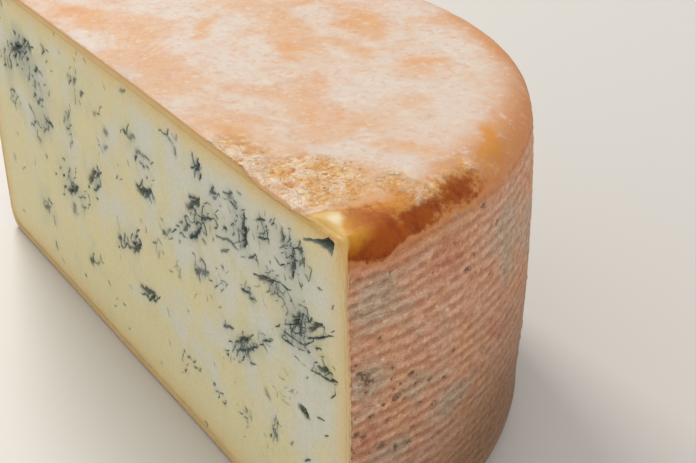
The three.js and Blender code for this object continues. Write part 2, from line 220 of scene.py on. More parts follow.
# Small dark pits of the side: arc length, height, radius.
PITS = [
    (6.5, 82, 1.5), (8, 79.5, 1.7), (4.5, 84, 1.1), (16.5, 80.5, 1.0), (17, 77, 1.0), (24.5, 75.5, 1.1),
    (26.5, 73.5, 1.0), (18, 69, 1.3), (19.8, 69.3, 0.9), (3, 62, 1.2), (5.5, 60, 1.0), (15, 62, 1.1),
    (35, 59, 1.0), (33, 69, 0.9), (45, 74, 1.0), (52, 100, 1.4), (62, 118, 1.6), (13, 53, 1.3),
    (19, 50.5, 1.4), (26, 54, 1.1),
    (24, 49, 1.2), (31, 76, 0.8), (12, 93.5, 0.9), (17, 113.5, 0.8), (56, 103.5, 1.0), (66, 92, 1.0),
    (9, 66.5, 1.0), (29, 62.5, 0.9), (40, 66, 0.9), (3, 45, 1.3), (9, 41, 1.2), (20, 38, 1.1), (71, 108, 1.1),
]
# Pale flecks of the side: arc length, height, reach along the arc.
PALE_FLECKS = [
    (15, 90.5, 1.0), (19.5, 92, 1.0), (24, 93, 0.9), (41, 91, 1.3), (11, 70, 1.2), (30, 85, 0.9),
    (22, 97.5, 1.1), (14, 98.5, 1.0), (36, 94.5, 1.0), (13, 86, 0.9), (9.5, 113, 1.1), (27, 103, 0.9),
    (20, 62, 1.0), (47, 79, 0.9),
]
# Seeds, counts and sizes of what is strewn by a rule: more pits and flecks of the side, and veins.
PIT_SEED, PIT_COUNT = 11, 210
FLECK_SEED, FLECK_COUNT = 17, 160
VEIN_SEED, SEAM_SEEDS = 4, 22000

# Grids of points: low corner, high corner, spacing, and the least room between points.
HOLLOW_GRID = ((126.6, 117.2), (145.4, 128.0), 0.36, 0.3)
CUT_GRIDS = (
    ((60, 2), (150, 129), 0.9, 0.6), ((-20, 2), (62, 129), 1.2, 0.8), ((-151, 2), (-18, 129), 1.5, 1.0),
)
COVER_CELL = 0.5  # size of the cells that the veins' cover is counted in
COVER_CORNER = (-157, -2)
COVER_CELLS = (630, 270)

# ---- the stage ----

# Lamps: name, the setting with its power, size in metres, azimuth and elevation in degrees.
LAMPS = (("key", "key_power", 0.9, 172, 36), ("fill", "fill_power", 1.6, 8, 28))
LAMP_DISTANCE = 3.0
LAMP_COLOUR = (1.0, 0.965, 0.92)
SKY_COLOUR = (250, 250, 252)
FLOOR_REACH = 3.0
CAMERA_PLACE = (413.3, -247.0, 306.0)
CAMERA_AHEAD = (-0.7321, 0.4804, -0.4828)
LENS, SENSOR = 67.24, 36.0


def srgb(red, green, blue):
    """A colour named by its 0 to 255 display values, as Blender's linear values."""
    def linear(value):
        share = value / 255
        return share / 12.92 if share <= 0.04045 else ((share + 0.055) / 1.055) ** 2.4
    return tuple(linear(value) for value in (red, green, blue))


def length_prop(name, description, default):
    return FloatProperty(name=name, description=description, default=default, min=0.0,
                         subtype="DISTANCE", unit="LENGTH")


def colour_prop(name, description, default):
    return FloatVectorProperty(name=name, description=description, default=default, size=3,
                               subtype="COLOR", min=0.0, max=1.0)


class RindLook(bpy.types.PropertyGroup):
    thickness: length_prop("Thickness", "Thickness of the rind at the side", 0.0026)
    top_thickness: length_prop("Top thickness", "Thickness of the rind at the top", 0.0037)
    rib_height: length_prop("Rib height", "Height of the ribs left by the mould", 0.0003)
    weave_pitch: length_prop("Weave pitch", "Length of the raised dashes along a rib", 0.0026)
    weave_height: length_prop("Weave height", "Height of the raised dashes along a rib", 0.00034)
    grain_height: length_prop("Grain height", "Height of the fine grain of the rind", 0.00036)
    lump_height: length_prop("Lump height", "Height of the soft lumps of the rind", 0.0006)
    crag_height: length_prop("Crag height", "Height of the crust's crags near the corner", 0.0009)
    pit_depth: length_prop("Pit depth", "Depth of the dark pits of the side", 0.0008)
    terracotta: colour_prop("Terracotta", "Main colour of the side", srgb(232, 168, 124))
    rose: colour_prop("Rose", "Pinker colour of the side", srgb(232, 176, 146))
    ash: colour_prop("Ash", "Grey-beige bloom on the side", srgb(212, 194, 172))
    red: colour_prop("Red", "Redder smears on the side", srgb(218, 134, 98))
    burnt: colour_prop("Burnt", "Burnt orange under the rim", srgb(150, 64, 4))
    # The rim's amber is partly a painted highlight.
    amber: colour_prop("Amber", "Glossy amber of the rim", srgb(214, 142, 56))
    peach: colour_prop("Peach", "Main colour of the top", srgb(220, 180, 144))
    bloom: colour_prop("Bloom", "White bloom on the top", srgb(220, 204, 188))
    orange: colour_prop("Orange", "Orange crust on the top", srgb(222, 162, 100))
    umber: colour_prop("Umber", "Brown-orange low on the side", srgb(206, 134, 66))
    # The pits' colour carries painted shade in the dents as well as their own darker colour.
    pit: colour_prop("Pit", "Colour of the pits", srgb(86, 60, 44))


class PasteLook(bpy.types.PropertyGroup):
    groove_depth: length_prop("Groove depth", "Depth of the veins' grooves", 0.0006)
    grain_height: length_prop("Grain height", "Height of the cut paste's grain", 0.00022)
    stroke_share: FloatProperty(name="Stroke share", default=1.0, min=0.0, max=2.0,
                                description="Share of the veins laid in each cluster")
    cream: colour_prop("Cream", "Colour of the bare paste", srgb(230, 228, 208))
    warm: colour_prop("Warm cream", "Yellower places of the paste", srgb(238, 226, 174))
    halo: colour_prop("Halo", "Grey-blue round the veins", srgb(178, 184, 172))
    vein: colour_prop("Vein", "Dark blue-green of the veins", srgb(48, 62, 62))
    olive: colour_prop("Olive", "Olive of the younger veins", srgb(92, 94, 48))
    amber: colour_prop("Amber", "Ripened paste under the top rind", srgb(236, 194, 116))
    beige: colour_prop("Beige", "Paste next to the rind", srgb(242, 212, 148))


class CrumbLook(bpy.types.PropertyGroup):
    white_count: IntProperty(name="White crumbs per m2", description="Density of the white crumbs",
                             default=260000, min=0)
    white: colour_prop("White", "Colour of the white crumbs", srgb(238, 226, 210))
    golden: colour_prop("Golden", "Colour of the golden flakes", srgb(226, 160, 84))


class StageLook(bpy.types.PropertyGroup):
    floor: colour_prop("Floor", "Colour of the floor", srgb(212, 208, 200))
    key_power: FloatProperty(name="Key power", default=50.0, min=0.0, unit="POWER",
                             description="Power of the key light")
    fill_power: FloatProperty(name="Fill power", default=15.0, min=0.0, unit="POWER",
                              description="Power of the soft light on the rind")
    sky: FloatProperty(name="Sky", default=0.7, min=0.0,
                       description="Strength of the soft light from all round")


# ---- small helpers for shapes ----


def smooth(value, low, high):
    """0 below low, 1 above high, and a smooth rise between them."""
    share = np.clip((np.asarray(value, float) - low) / (high - low), 0, 1)
    return share * share * (3 - 2 * share)


def slow_wave(x, y, z, phase):
    """A slow, smooth wave between -1 and 1 over space."""
    return (0.45 * np.sin(x / 23 + y / 37 + phase)
            + 0.33 * np.sin(y / 19 - z / 29 + 2.1 * phase)
            + 0.22 * np.sin(z / 15 + x / 31 - y / 43 + 3.7 * phase))


def side_radius(z):
    share = np.clip(np.asarray(z, float) / WHEEL_HEIGHT, 0, 1)
    return WHEEL_RADIUS + 4 * SIDE_BULGE * share * (1 - share)


def cut_depth(x, z):
    """How far the cut face stands back from the plane y = 0."""
    return 0.5 * CUT_WAVE * (1 + slow_wave(1.3 * x, 0, 1.6 * z, 5.2))


def depth_from_rind(x, z):
    """Distance in the cut plane from a point to the wheel's outline."""
    x = np.abs(np.asarray(x, float))
    z = np.asarray(z, float)
    to_side = side_radius(z) - x
    depth = np.minimum(np.minimum(WHEEL_HEIGHT - z, z), to_side)
    for height, radius, sign in ((SIDE_TOP, TOP_ROUND, 1), (BASE_ROUND, BASE_ROUND, -1)):
        inward_x = x - (side_radius(z) - radius)
        inward_z = sign * (z - height)
        in_corner = (inward_x > 0) & (inward_z > 0)
        depth = np.where(in_corner, radius - np.hypot(inward_x, inward_z), depth)
    return depth


def upright(flat):
    """Points of the cut's plane, given by x and z, in space."""
    return np.column_stack([flat[:, 0], 0 * flat[:, 0], flat[:, 1]])


def turned(across, up, degrees):
    """The same place along axes that are turned by this angle."""
    cos, sin = math.cos(math.radians(degrees)), math.sin(math.radians(degrees))
    return across * cos + up * sin, up * cos - across * sin


def outline_rows(top_step, side_step, base_step):
    """Radius and height of the rows between the flat top and the flat base."""
    rows = []
    steps = round(TOP_ROUND * math.pi / 2 / top_step)
    for i in range(steps):
        angle = math.pi / 2 * (1 - i / steps)
        z = SIDE_TOP + TOP_ROUND * math.sin(angle)
        rows.append((float(side_radius(z)) - TOP_ROUND * (1 - math.cos(angle)), z))
    steps = round((SIDE_TOP - BASE_ROUND) / side_step)
    for i in range(steps):
        z = SIDE_TOP - (SIDE_TOP - BASE_ROUND) * i / steps
        rows.append((float(side_radius(z)), z))
    steps = round(BASE_ROUND * math.pi / 2 / base_step)
    for i in range(steps + 1):
        angle = math.pi / 2 * (1 - i / steps)
        z = BASE_ROUND * (1 - math.cos(angle))
        rows.append((float(side_radius(z)) - BASE_ROUND * (1 - math.sin(angle)), z))
    return np.array(rows)


def marched(total, spacing):
    """Places from 0 to total, each step as long as spacing(place) says."""
    places = [0.0]
    while places[-1] < total:
        places.append(places[-1] + spacing(places[-1]))
    return np.array(places) * (total / places[-1])


def inner_outline(side_depth, top_depth, step, corner=False):
    """Half of the outline, moved inwards, from the axis at the top to the axis at the base."""
    rows = outline_rows(step, step, step)
    centre_z = np.clip(rows[:, 1], BASE_ROUND, SIDE_TOP)
    radius = np.where(rows[:, 1] > WHEEL_HEIGHT / 2, TOP_ROUND, BASE_ROUND)
    centre_r = side_radius(rows[:, 1]) - radius
    toward = np.stack([centre_r - rows[:, 0], centre_z - rows[:, 1]], 1)
    toward /= np.linalg.norm(toward, axis=1)[:, None]

    def share(x, z):
        """The rind is thinner over the hollow next to the corner."""
        return 1 - 0.42 * smooth(x, 131, 140) * smooth(z, 96, 116) * corner

    depth = np.abs(toward[:, 0]) * side_depth + np.abs(toward[:, 1]) * top_depth
    moved = rows + toward * (depth * share(*rows.T))[:, None]
    count = round(rows[0, 0] / step)
    across = rows[0, 0] * np.arange(count) / count
    top = np.stack([across, WHEEL_HEIGHT - top_depth * share(across, WHEEL_HEIGHT)], 1)
    base = np.stack([across[::-1], np.full(count, moved[-1, 1])], 1)
    return np.concatenate([top, moved, base])


def cut_ring(side_depth, top_depth, step):
    """The whole outline moved inwards, and the half of it that is the same all round."""
    half = inner_outline(side_depth, top_depth, step)
    right = inner_outline(side_depth, top_depth, step, corner=True)
    return np.concatenate([right, half[1:-1][::-1] * (-1, 1)]), half


def squared(x, y, z):
    """How far points near the corner move outwards and upwards to make it almost square."""
    out = np.hypot(x, y) - (side_radius(z) - TOP_ROUND)
    up = z - SIDE_TOP
    angle = np.arctan2(np.maximum(up, 0), np.maximum(out, 1e-9))
    inset = TOP_ROUND - CORNER_ROUND
    lean = angle - math.pi / 4
    diagonal = inset * math.sqrt(2)
    chord = np.maximum(CORNER_ROUND ** 2 - (diagonal * np.sin(lean)) ** 2, 0)
    rounded = diagonal * np.cos(lean) + np.sqrt(chord)
    straight = TOP_ROUND / np.maximum(np.cos(angle), np.sin(angle))
    limit = math.atan2(inset, TOP_ROUND)
    reach = np.where((angle > limit) & (angle < math.pi / 2 - limit), rounded, straight)
    inward = smooth(np.hypot(out, up) / TOP_ROUND, 0.1, 1.0)
    arc = np.arctan2(np.maximum(y, 0), x) * WHEEL_RADIUS
    active = (1 - smooth(arc, 3, 36)) * (x > 0) * (out > 0) * (up > 0)
    grow = (reach / TOP_ROUND - 1) * inward * active
    return out * grow, up * grow


class Skin:
    """Points and triangles gathered for one closed mesh."""

    def __init__(self):
        self.points = np.zeros((0, 3))
        self.faces = []

    def add(self, points):
        """Adds points and gives back their numbers."""
        start = len(self.points)
        self.points = np.concatenate([self.points, np.asarray(points, float).reshape(-1, 3)])
        return np.arange(start, len(self.points))

    def quads(self, grid, flip=False):
        """Two triangles for each cell of a grid of point numbers."""
        a, b, c, d = grid[:-1, :-1], grid[1:, :-1], grid[1:, 1:], grid[:-1, 1:]
        odd = (np.add.outer(np.arange(a.shape[0]), np.arange(a.shape[1])) % 2).astype(bool)
        first = np.where(odd[..., None], np.stack([a, b, c], -1), np.stack([a, b, d], -1))
        second = np.where(odd[..., None], np.stack([a, c, d], -1), np.stack([b, c, d], -1))
        self.triangles(np.concatenate([first.reshape(-1, 3), second.reshape(-1, 3)]), flip)

    def triangles(self, faces, flip=False):
        faces = np.asarray(faces, int).reshape(-1, 3)
        self.faces.append(faces[:, ::-1] if flip else faces)

    def fill(self, ids, flat, loops, flip=False, keep=None):
        """Triangles over flat points; each loop is a slice of ids that is a closed border."""
        edges = []
        for start, stop in loops:
            ring = list(range(start, stop))
            edges += list(zip(ring, ring[1:] + ring[:1]))
        points, _, faces, origins, _, _ = delaunay_2d_cdt(
            [Vector(p) for p in flat], edges, [], 1, 1e-5)
        if len(points) != len(flat):
            raise RuntimeError("two flat points lie on each other")
        order = np.array([o[0] for o in origins])
        made = order[np.array(faces, int)]
        if keep is not None:
            made = made[keep(made)]
        self.triangles(ids[made], flip)

    def check_closed(self, name):
        """Stops with an error unless every edge has exactly one face on each side."""
        faces = np.concatenate(self.faces)
        runs = np.concatenate([faces[:, [0, 1]], faces[:, [1, 2]], faces[:, [2, 0]]])
        size = len(self.points)
        there = runs[:, 0] * size + runs[:, 1]
        back = runs[:, 1] * size + runs[:, 0]
        if len(np.unique(there)) != len(there) or not np.array_equal(np.sort(there), np.sort(back)):
            raise RuntimeError(f"{name} isn't a closed mesh")
        a, b, c = (self.points[faces[:, i]] for i in range(3))
        if np.einsum("ij,ij->i", a, np.cross(b, c)).sum() <= 0:
            raise RuntimeError(f"{name} is inside out")

    def mesh(self, name, values):
        """The mesh, in the frame's metres, with one attribute for each named array."""
        self.check_closed(name)
        faces = np.concatenate(self.faces)
        made = bpy.data.meshes.new(name)
        made.vertices.add(len(self.points))
        made.vertices.foreach_set("co", ((self.points + np.array(AXIS)) * MM).astype(np.float32).ravel())
        made.loops.add(faces.size)
        made.loops.foreach_set("vertex_index", faces.astype(np.int32).ravel())
        made.polygons.add(len(faces))
        made.polygons.foreach_set("loop_start", np.arange(0, faces.size, 3, dtype=np.int32))
        made.polygons.foreach_set("use_smooth", np.ones(len(faces), bool))
        made.update(calc_edges=True)
        made.validate()
        for key, value in values.items():
            layer = made.attributes.new(key, "FLOAT", "POINT")
            layer.data.foreach_set("value", np.asarray(value, np.float32))
        return made


def revolve(skin, loop, half, flip, sectors=18):
    """A coarse half-round sheet behind a loop: right half outline down, left half back up."""
    angles = [math.pi * k / sectors for k in range(1, sectors)]
    right = loop[:len(half)]
    left = np.concatenate([[loop[0]], loop[len(half):][::-1], [loop[len(half) - 1]]])
    r, z = half[1:-1].T
    inner = [skin.add(np.stack([r * math.cos(angle), r * math.sin(angle), z], 1)) for angle in angles]
    columns = [right[1:-1], *inner, left[1:-1]]
    grid = np.array(columns).T
    skin.quads(grid, flip)
    for pole, row, turn in ((loop[0], grid[0], False), (loop[len(half) - 1], grid[-1], True)):
        fan = [(pole, row[i], row[i + 1]) for i in range(len(row) - 1)]
        skin.triangles(fan, flip != turn)


def hex_points(low, high, spacing):
    """A staggered grid of points over a rectangle."""
    rows = np.arange(low[1], high[1], spacing * 0.866)
    points = []
    for k, y in enumerate(rows):
        xs = np.arange(low[0] + (k % 2) * spacing / 2, high[0], spacing)
        points.append(np.stack([xs, np.full(len(xs), y)], 1))
    return np.concatenate(points)


def thinned(points, spacing, taken=None):
    """The points in order, without those nearer than spacing to one already kept."""
    cells = {}
    kept = []
    limit = np.broadcast_to(np.asarray(spacing, float), (len(points),))
    size = float(limit.max())

    def near(x, y, reach):
        cx, cy = math.floor(x / size), math.floor(y / size)
        for i in (cx - 1, cx, cx + 1):
            for j in (cy - 1, cy, cy + 1):
                for other_x, other_y in cells.get((i, j), ()):
                    if (other_x - x) ** 2 + (other_y - y) ** 2 < reach * reach:
                        return True
        return False

    def put(x, y):
        cells.setdefault((math.floor(x / size), math.floor(y / size)), []).append((x, y))

    for x, y in (taken if taken is not None else ()):
        put(x, y)
    for index, (x, y) in enumerate(np.asarray(points).tolist()):
        if not near(x, y, limit[index]):
            put(x, y)
            kept.append(index)
    return np.array(kept, int)


# ---- the rind ----


def patch_values(patches, across, up):
    """Strength of soft oval patches: 1 in the middle of one, 0 at its border, negative outside."""
    value = np.full(len(across), -1.0)
    for x, y, long, wide, turn, strength in patches:
        a, b = turned(across - x, up - y, turn)
        value = np.maximum(value, strength * (1 - np.hypot(a / long, b / wide)))
    return value


def lip_swell(x):
    """How far out the skin's edge hangs along the cut, 0 to 1."""
    share = np.clip((x - LIP["start"]) / (LIP["end"] - LIP["start"]), 0, 1)
    swell = np.sin(math.pi * share) ** 0.6
    ragged = 0.72 + 0.2 * np.sin(x / 1.9) * np.sin(x / 4.7 + 1) + 0.08 * np.sin(x / 0.7 + 2)
    return swell, swell * ragged


def edge_width(x, z):
    """Width of the pressed edge between the cut and the outside."""
    on_top = 0.5 + (CORNER_WIDTH - 0.5) * smooth(x, CORNER_START, CORNER_START + 14)
    side = 1.1 + (CORNER_WIDTH - 1.1) * smooth(z, 108, 126)
    width = np.where(z > SIDE_TOP, np.minimum(on_top, side), side)
    return np.where(x < 0, 0.8, width)


def press_edge(points, normal, width):
    """Rounds the edge between the outside and the cut to a quarter circle of this width."""
    depth = np.maximum(depth_from_rind(points[:, 0], points[:, 2]), 0)
    back = points[:, 1]
    on_cut = back <= 1e-9
    share = np.where(on_cut, 1 + depth / width, 1 - back / width) * math.pi / 4
    active = np.where(on_cut, depth < width, back < width)
    new_back = width - width * np.sin(share)
    new_depth = width - width * np.cos(share)
    old_depth = np.where(on_cut, depth, 0)
    moved = points - normal * (new_depth - old_depth)[:, None]
    moved[:, 1] += new_back - back
    return np.where(active[:, None], moved, points)


def hang_lip(points, on_cut, back, depth):
    """Draws the top rind's skin out over the cut, and lets it sag."""
    swell, reach = lip_swell(points[:, 0])
    near_top = points[:, 2] > SIDE_TOP
    near_end = points[:, 0] > 0
    behind = np.clip(1 - back / LIP["back"], 0, 1)
    nose = 0.72 + 0.28 * smooth(depth, 0, 0.7)
    under = 1 - smooth(depth, LIP["thick"], LIP["thick"] + 0.5)
    out = np.where(on_cut, nose * under, 0.72 * behind ** 2) * reach * LIP["reach"]
    sag = np.where(on_cut, under, behind ** 2) * swell * LIP["droop"]
    active = near_top & near_end
    points[:, 1] -= np.where(active, out, 0)
    points[:, 2] -= np.where(active, sag, 0)


def column_places():
    """Arc lengths of the side's columns: close at both cut ends and near the corner."""
    total = math.pi * WHEEL_RADIUS
    def spacing(place):
        regular = 0.85 + 1.25 * float(smooth(place, 40, 190))
        return min(regular, 0.42 + 0.2 * place, 0.5 + 0.2 * max(total - place, 0))
    return marched(total, spacing)


def rind_skin(look):
    """The rind's closed shell, each point's normal, and whether it is on the cut or hidden."""
    skin = Skin()
    rows = outline_rows(1.0, 0.8, 1.3)
    arc = column_places()
    theta = arc / WHEEL_RADIUS
    theta[-1] = math.pi
    cos, sin = np.cos(theta), np.sin(theta)
    sin[0] = sin[-1] = 0.0
    r, z = rows[:, 0:1], rows[:, 1:2]
    side = np.stack([r * cos, r * sin, np.broadcast_to(z, (len(rows), len(theta)))], -1)
    slope = np.gradient(rows, axis=0)
    slope /= np.linalg.norm(slope, axis=1)[:, None]
    out_r, out_z = -slope[:, 1:2], slope[:, 0:1]
    side_normal = np.stack([out_r * cos, out_r * sin, np.broadcast_to(out_z, (len(rows), len(theta)))], -1)
    grid = skin.add(side).reshape(side.shape[:2])
    skin.quads(grid)
    normals = [side_normal.reshape(-1, 3)]
    straight = {}
    for key, row, height, up in (("top", 0, WHEEL_HEIGHT, 1.0), ("base", -1, 0.0, -1.0)):
        flat_radius = rows[row, 0]

        def spacing(place):
            return 1.7 - 0.9 * float(smooth(place - flat_radius, 20, 90)) if key == "top" else 2.6

        xs = marched(2 * flat_radius, spacing)[1:-1] - flat_radius
        edge = skin.add(np.stack([xs, 0 * xs, np.full(len(xs), height)], 1))
        straight[key] = edge
        border = np.concatenate([grid[row], edge])
        flat = skin.points[border][:, :2]
        if key == "top":
            near = hex_points((82, 0.5), (flat_radius, 42), 0.58)
            middle = hex_points((-12, 1.2), (flat_radius, flat_radius), 1.4)
            far = hex_points((-flat_radius, 1.2), (0, flat_radius), 1.9)
            strips = [np.stack([xs, np.full(len(xs), back)], 1) for back in (0.45, 1.05)]
            inner = np.concatenate([*strips, near, middle, far])
            room = np.repeat([0.4, 0.45, 1.0, 1.4], [2 * len(xs), len(near), len(middle), len(far)])
        else:
            inner = hex_points((-flat_radius, 3), (flat_radius, flat_radius), 4.2)
            room = np.full(len(inner), 2.4)
        inside = (np.hypot(inner[:, 0], inner[:, 1]) < flat_radius - 0.5) & (inner[:, 1] > 0.3)
        inner, room = inner[inside], room[inside]
        inner = inner[thinned(inner, room, flat)]
        ids = np.concatenate([border, skin.add(np.column_stack([inner, np.full(len(inner), height)]))])
        flat = skin.points[ids][:, :2]
        skin.fill(ids, flat, [(0, len(border))], flip=up < 0)
        count = len(edge) + len(inner)
        normals.append(np.tile([0, 0, up], (count, 1)))
    # The strip where the cut goes through the rind, and the hidden inner sheet behind it.
    ring, half = cut_ring(look.thickness / MM, look.top_thickness / MM, 2.6)
    inner_loop = skin.add(upright(ring))
    outer_loop = np.concatenate([straight["top"], grid[:, 0], straight["base"][::-1], grid[::-1, -1]])
    band = skin.add(upright(strip_points(look, skin.points[outer_loop][:, [0, 2]], ring)))
    ids = np.concatenate([outer_loop, inner_loop, band])
    inner_first, inner_last = len(outer_loop), len(outer_loop) + len(inner_loop)

    def in_the_strip(faces):
        return ~((faces >= inner_first) & (faces < inner_last)).all(1)

    skin.fill(ids, skin.points[ids][:, [0, 2]],
              [(0, len(outer_loop)), (inner_first, inner_last)], keep=in_the_strip)
    strip_end = len(skin.points)
    strip_start = strip_end - len(inner_loop) - len(band)
    normals.append(outline_normals(skin.points[strip_start:]))
    revolve(skin, inner_loop, half, flip=True)
    normals.append(np.zeros((len(skin.points) - strip_end, 3)))
    number = np.arange(len(skin.points))
    is_strip, is_hidden = (number >= strip_start) & (number < strip_end), number >= strip_end
    return skin, np.concatenate(normals), is_strip, is_hidden


def outline_normals(points):
    """Outward normals, in the cut plane, of the outline nearest to each point."""
    step = 0.05
    x, z = points[:, 0], points[:, 2]
    gx = depth_from_rind(x + step, z) - depth_from_rind(x - step, z)
    gz = depth_from_rind(x, z + step) - depth_from_rind(x, z - step)
    size = np.maximum(np.hypot(gx, gz), 1e-9)
    return np.stack([-gx / size, 0 * gx, -gz / size], 1)


def strip_points(look, outer, ring):
    """Points between the outline and the rind's inner edge on the cut."""
    thick = look.thickness / MM
    lines = []
    for share, step in ((0.12, 0.9), (0.26, 1.0), (0.42, 1.1), (0.6, 1.3), (0.8, 1.8)):
        lines.append(cut_ring(thick * share, look.top_thickness / MM * share, step)[0])
    lip = hex_points((LIP["start"] - 1, WHEEL_HEIGHT - 2.4), (LIP["end"] + 1, WHEEL_HEIGHT - 0.3), 0.42)
    inside = lip[:, 1] > np.interp(lip[:, 0], ring[:len(ring) // 4, 0], ring[:len(ring) // 4, 1]) + 0.3
    lip = lip[inside]
    points = np.concatenate([lip, *lines])
    room = np.concatenate([np.full(len(lip), 0.33), np.full(len(points) - len(lip), 0.42)])
    kept = thinned(points, room, np.concatenate([outer, ring]))
    return points[kept]


def make_rind_mesh(look):
    """The rind before its fine relief, with its weights and patches as attributes."""
    skin, normal, is_strip, is_hidden = rind_skin(look)
    points = skin.points.copy()
    x, y, z = points.T.copy()
    radius = np.hypot(x, y)
    theta = np.arctan2(y, x)
    arc = theta * WHEEL_RADIUS
    depth = np.where(is_strip, np.maximum(depth_from_rind(x, z), 0), 0.0)
    moved = press_edge(points, normal, edge_width(x, z))
    moved[is_hidden] = points[is_hidden]
    back = np.maximum(y, 0)
    shown = ~is_hidden
    hung = moved.copy()
    hang_lip(hung, is_strip | (y <= 1e-9), back, depth)
    moved[shown] = hung[shown]
    out, up = squared(x, y, z)
    moved += np.stack([out * np.cos(theta), out * np.sin(theta), up], 1)
    behind = np.clip(1 - back / 8, 0, 1)
    stand_proud = 0.1 * is_strip
    moved[:, 1] += np.where(shown, (cut_depth(x, z) - stand_proud) * behind, 0)
    # The slow unevenness that the CAD solid has too.
    on_side = smooth(z, 0, BASE_ROUND)
    dent = 0.5 * SIDE_WAVE * (1 - slow_wave(x, y, z, 0.4)) * on_side * (radius > 1)
    factor = (radius - dent) / np.maximum(radius, 1)
    factor = np.where(radius > 1, factor, 1)
    moved[:, 0] *= factor
    moved[:, 1] *= factor
    on_top = smooth(z, SIDE_TOP, WHEEL_HEIGHT)
    moved[:, 2] -= on_top * 0.5 * TOP_WAVE * (1 - slow_wave(x, y, 0, 1.9))
    skin.points = moved
    values = rind_values(x, y, z, arc, radius, depth, is_strip, is_hidden)
    return skin.mesh("rind", values)


def rind_values(x, y, z, arc, radius, depth, is_strip, is_hidden):
    """The rind's attributes: what its relief and its material read."""
    outside = ~(is_strip | is_hidden)
    side = smooth(z, 7, 15) * (1 - smooth(z, 120.5, 126)) * outside
    top = smooth(z, 121, 127.5) * outside
    values = {"arc": arc, "side": side, "top": top, "depth": np.where(is_hidden, 9.0, depth),
              "strip": is_strip.astype(float)}
    bend_x = 4 * np.sin(y / 6.3 + x / 17) + 2.4 * np.sin(y / 2.9 - x / 8)
    bend_y = 3 * np.sin(x / 7.1 + y / 13)
    for key, patches in TOP_PATCHES.items():
        values[key] = np.where(z > 112, patch_values(patches, x + bend_x, y + bend_y), -1)
    away = smooth(arc, 25, 90)
    bend_arc = away * (6 * np.sin(z / 6.3 + arc / 17) + 3 * np.sin(z / 2.9 - arc / 8))
    bend_z = away * (5 * np.sin(arc / 9.1 + z / 13) + 2.4 * np.sin(arc / 3.7 + z / 5))
    for key, patches in SIDE_PATCHES.items():
        share = 0.3 if key == "burnt" else 1.0
        values[key] = patch_values(patches, arc + share * bend_arc, z + share * bend_z)
    values["burnt"] = np.maximum(values["burnt"] - np.maximum(146 - radius, 0) / 3,
                                 patch_values(CORNER_BURNT, x, y) - np.maximum(123 - z, 0) / 4)
    near_edge = np.clip(1 - y / 3, 0, 1)
    crust = patch_values(CRUST, x, y)
    # At the corner the crust ends in a ragged line, and what lies between that and the cut is bare.
    border = 129.3 + 0.33 * y + 0.6 * np.sin(1.3 * y) * np.sin(0.5 * y + 1)
    opened = smooth(x - border, -0.3, 0.4) * (1 - smooth(y, 20, 30)) * smooth(z, 122.5, 126) * outside
    covered = outside * (1 - opened)
    values["opened"] = opened
    values["bare"] = opened * (1 - smooth(y + 0.62 * (x - 134), 6.5, 11))
    values["crag"] = np.maximum(smooth(crust, 0.0, 0.35), 0.3 * near_edge) * (z > 124) * covered
    values["crust"] = np.where(z > 122, crust * (1 - opened) - opened, -1)
    # A painted highlight: a cream spot on the bare paste at the corner.
    values["cream"] = patch_values(CORNER_HIGHLIGHT, x, y) * (z > 120)
    values["lip"] = lip_swell(x)[0] * (z > 118) * (x > 0) * np.clip(1 - y / 1.8, 0, 1)
    for key, placed, strewn, strength in (("pit", PITS, stray_pits(), 0.8),
                                          ("fleck", PALE_FLECKS, stray_flecks(), 0.9)):
        spots = pit_values(arc, z, placed, 1.0), pit_values(arc, z, strewn, strength)
        values[key] = np.maximum(*spots) * side
    for key, patches, full in (("crumbs", WHITE_CRUMBS, 0.5), ("golden", GOLDEN_FLAKES, 0.4)):
        values[key] = smooth(patch_values(patches, x, y), 0, full) * (z > 126) * covered
    return values


def stray_flecks():
    """Pale flecks along the ribs, most of them in the middle of the side near the corner."""
    draw = random.Random(FLECK_SEED)
    flecks = []
    for _ in range(FLECK_COUNT):
        place = draw.uniform(0, math.pi * WHEEL_RADIUS)
        if draw.random() < 0.3:
            place = abs(draw.gauss(18, 22))
        rib = BASE_ROUND + RIB_PITCH * round((draw.gauss(78, 26) - BASE_ROUND) / RIB_PITCH)
        if 12 < rib < 118:
            flecks.append((place, rib + draw.gauss(0, 0.5), draw.uniform(0.3, 0.65)))
    return flecks


def stray_pits():
    """Small pits strewn over the side, more of them low and near the corner."""
    draw = random.Random(PIT_SEED)
    pits = []
    while len(pits) < PIT_COUNT:
        place = draw.uniform(0, math.pi * WHEEL_RADIUS)
        height = draw.uniform(14, 116)
        if draw.random() < 0.3:
            place, height = abs(draw.gauss(10, 16)), draw.uniform(14, 88)
        pits.append((place, height, draw.uniform(0.35, 0.8)))
    return pits


def pit_values(arc, z, pits, strength):
    value = np.zeros(len(arc))
    for place, height, size in pits:
        near = (np.abs(arc - place) < 3 * size) & (np.abs(z - height) < 3 * size)
        distance = np.hypot((arc[near] - place) / (1.25 * size), (z[near] - height) / (0.8 * size))
        value[near] = np.maximum(value[near], strength * (1 - smooth(distance, 0.3, 1.5)))
    return value


# ---- the paste ----


def bezier_like(points, count):
    """Points spaced evenly along a smooth line through the given ones."""
    points = np.asarray(points, float)
    lengths = np.concatenate([[0], np.cumsum(np.linalg.norm(np.diff(points, axis=0), axis=1))])
    along = np.linspace(0, lengths[-1], count)
    line = np.stack([np.interp(along, lengths, points[:, i]) for i in (0, 1)], 1)
    if len(points) > 2:
        for _ in range(2):
            line[1:-1] = 0.25 * line[:-2] + 0.5 * line[1:-1] + 0.25 * line[2:]
    return line


STROKE_STEP = 0.3


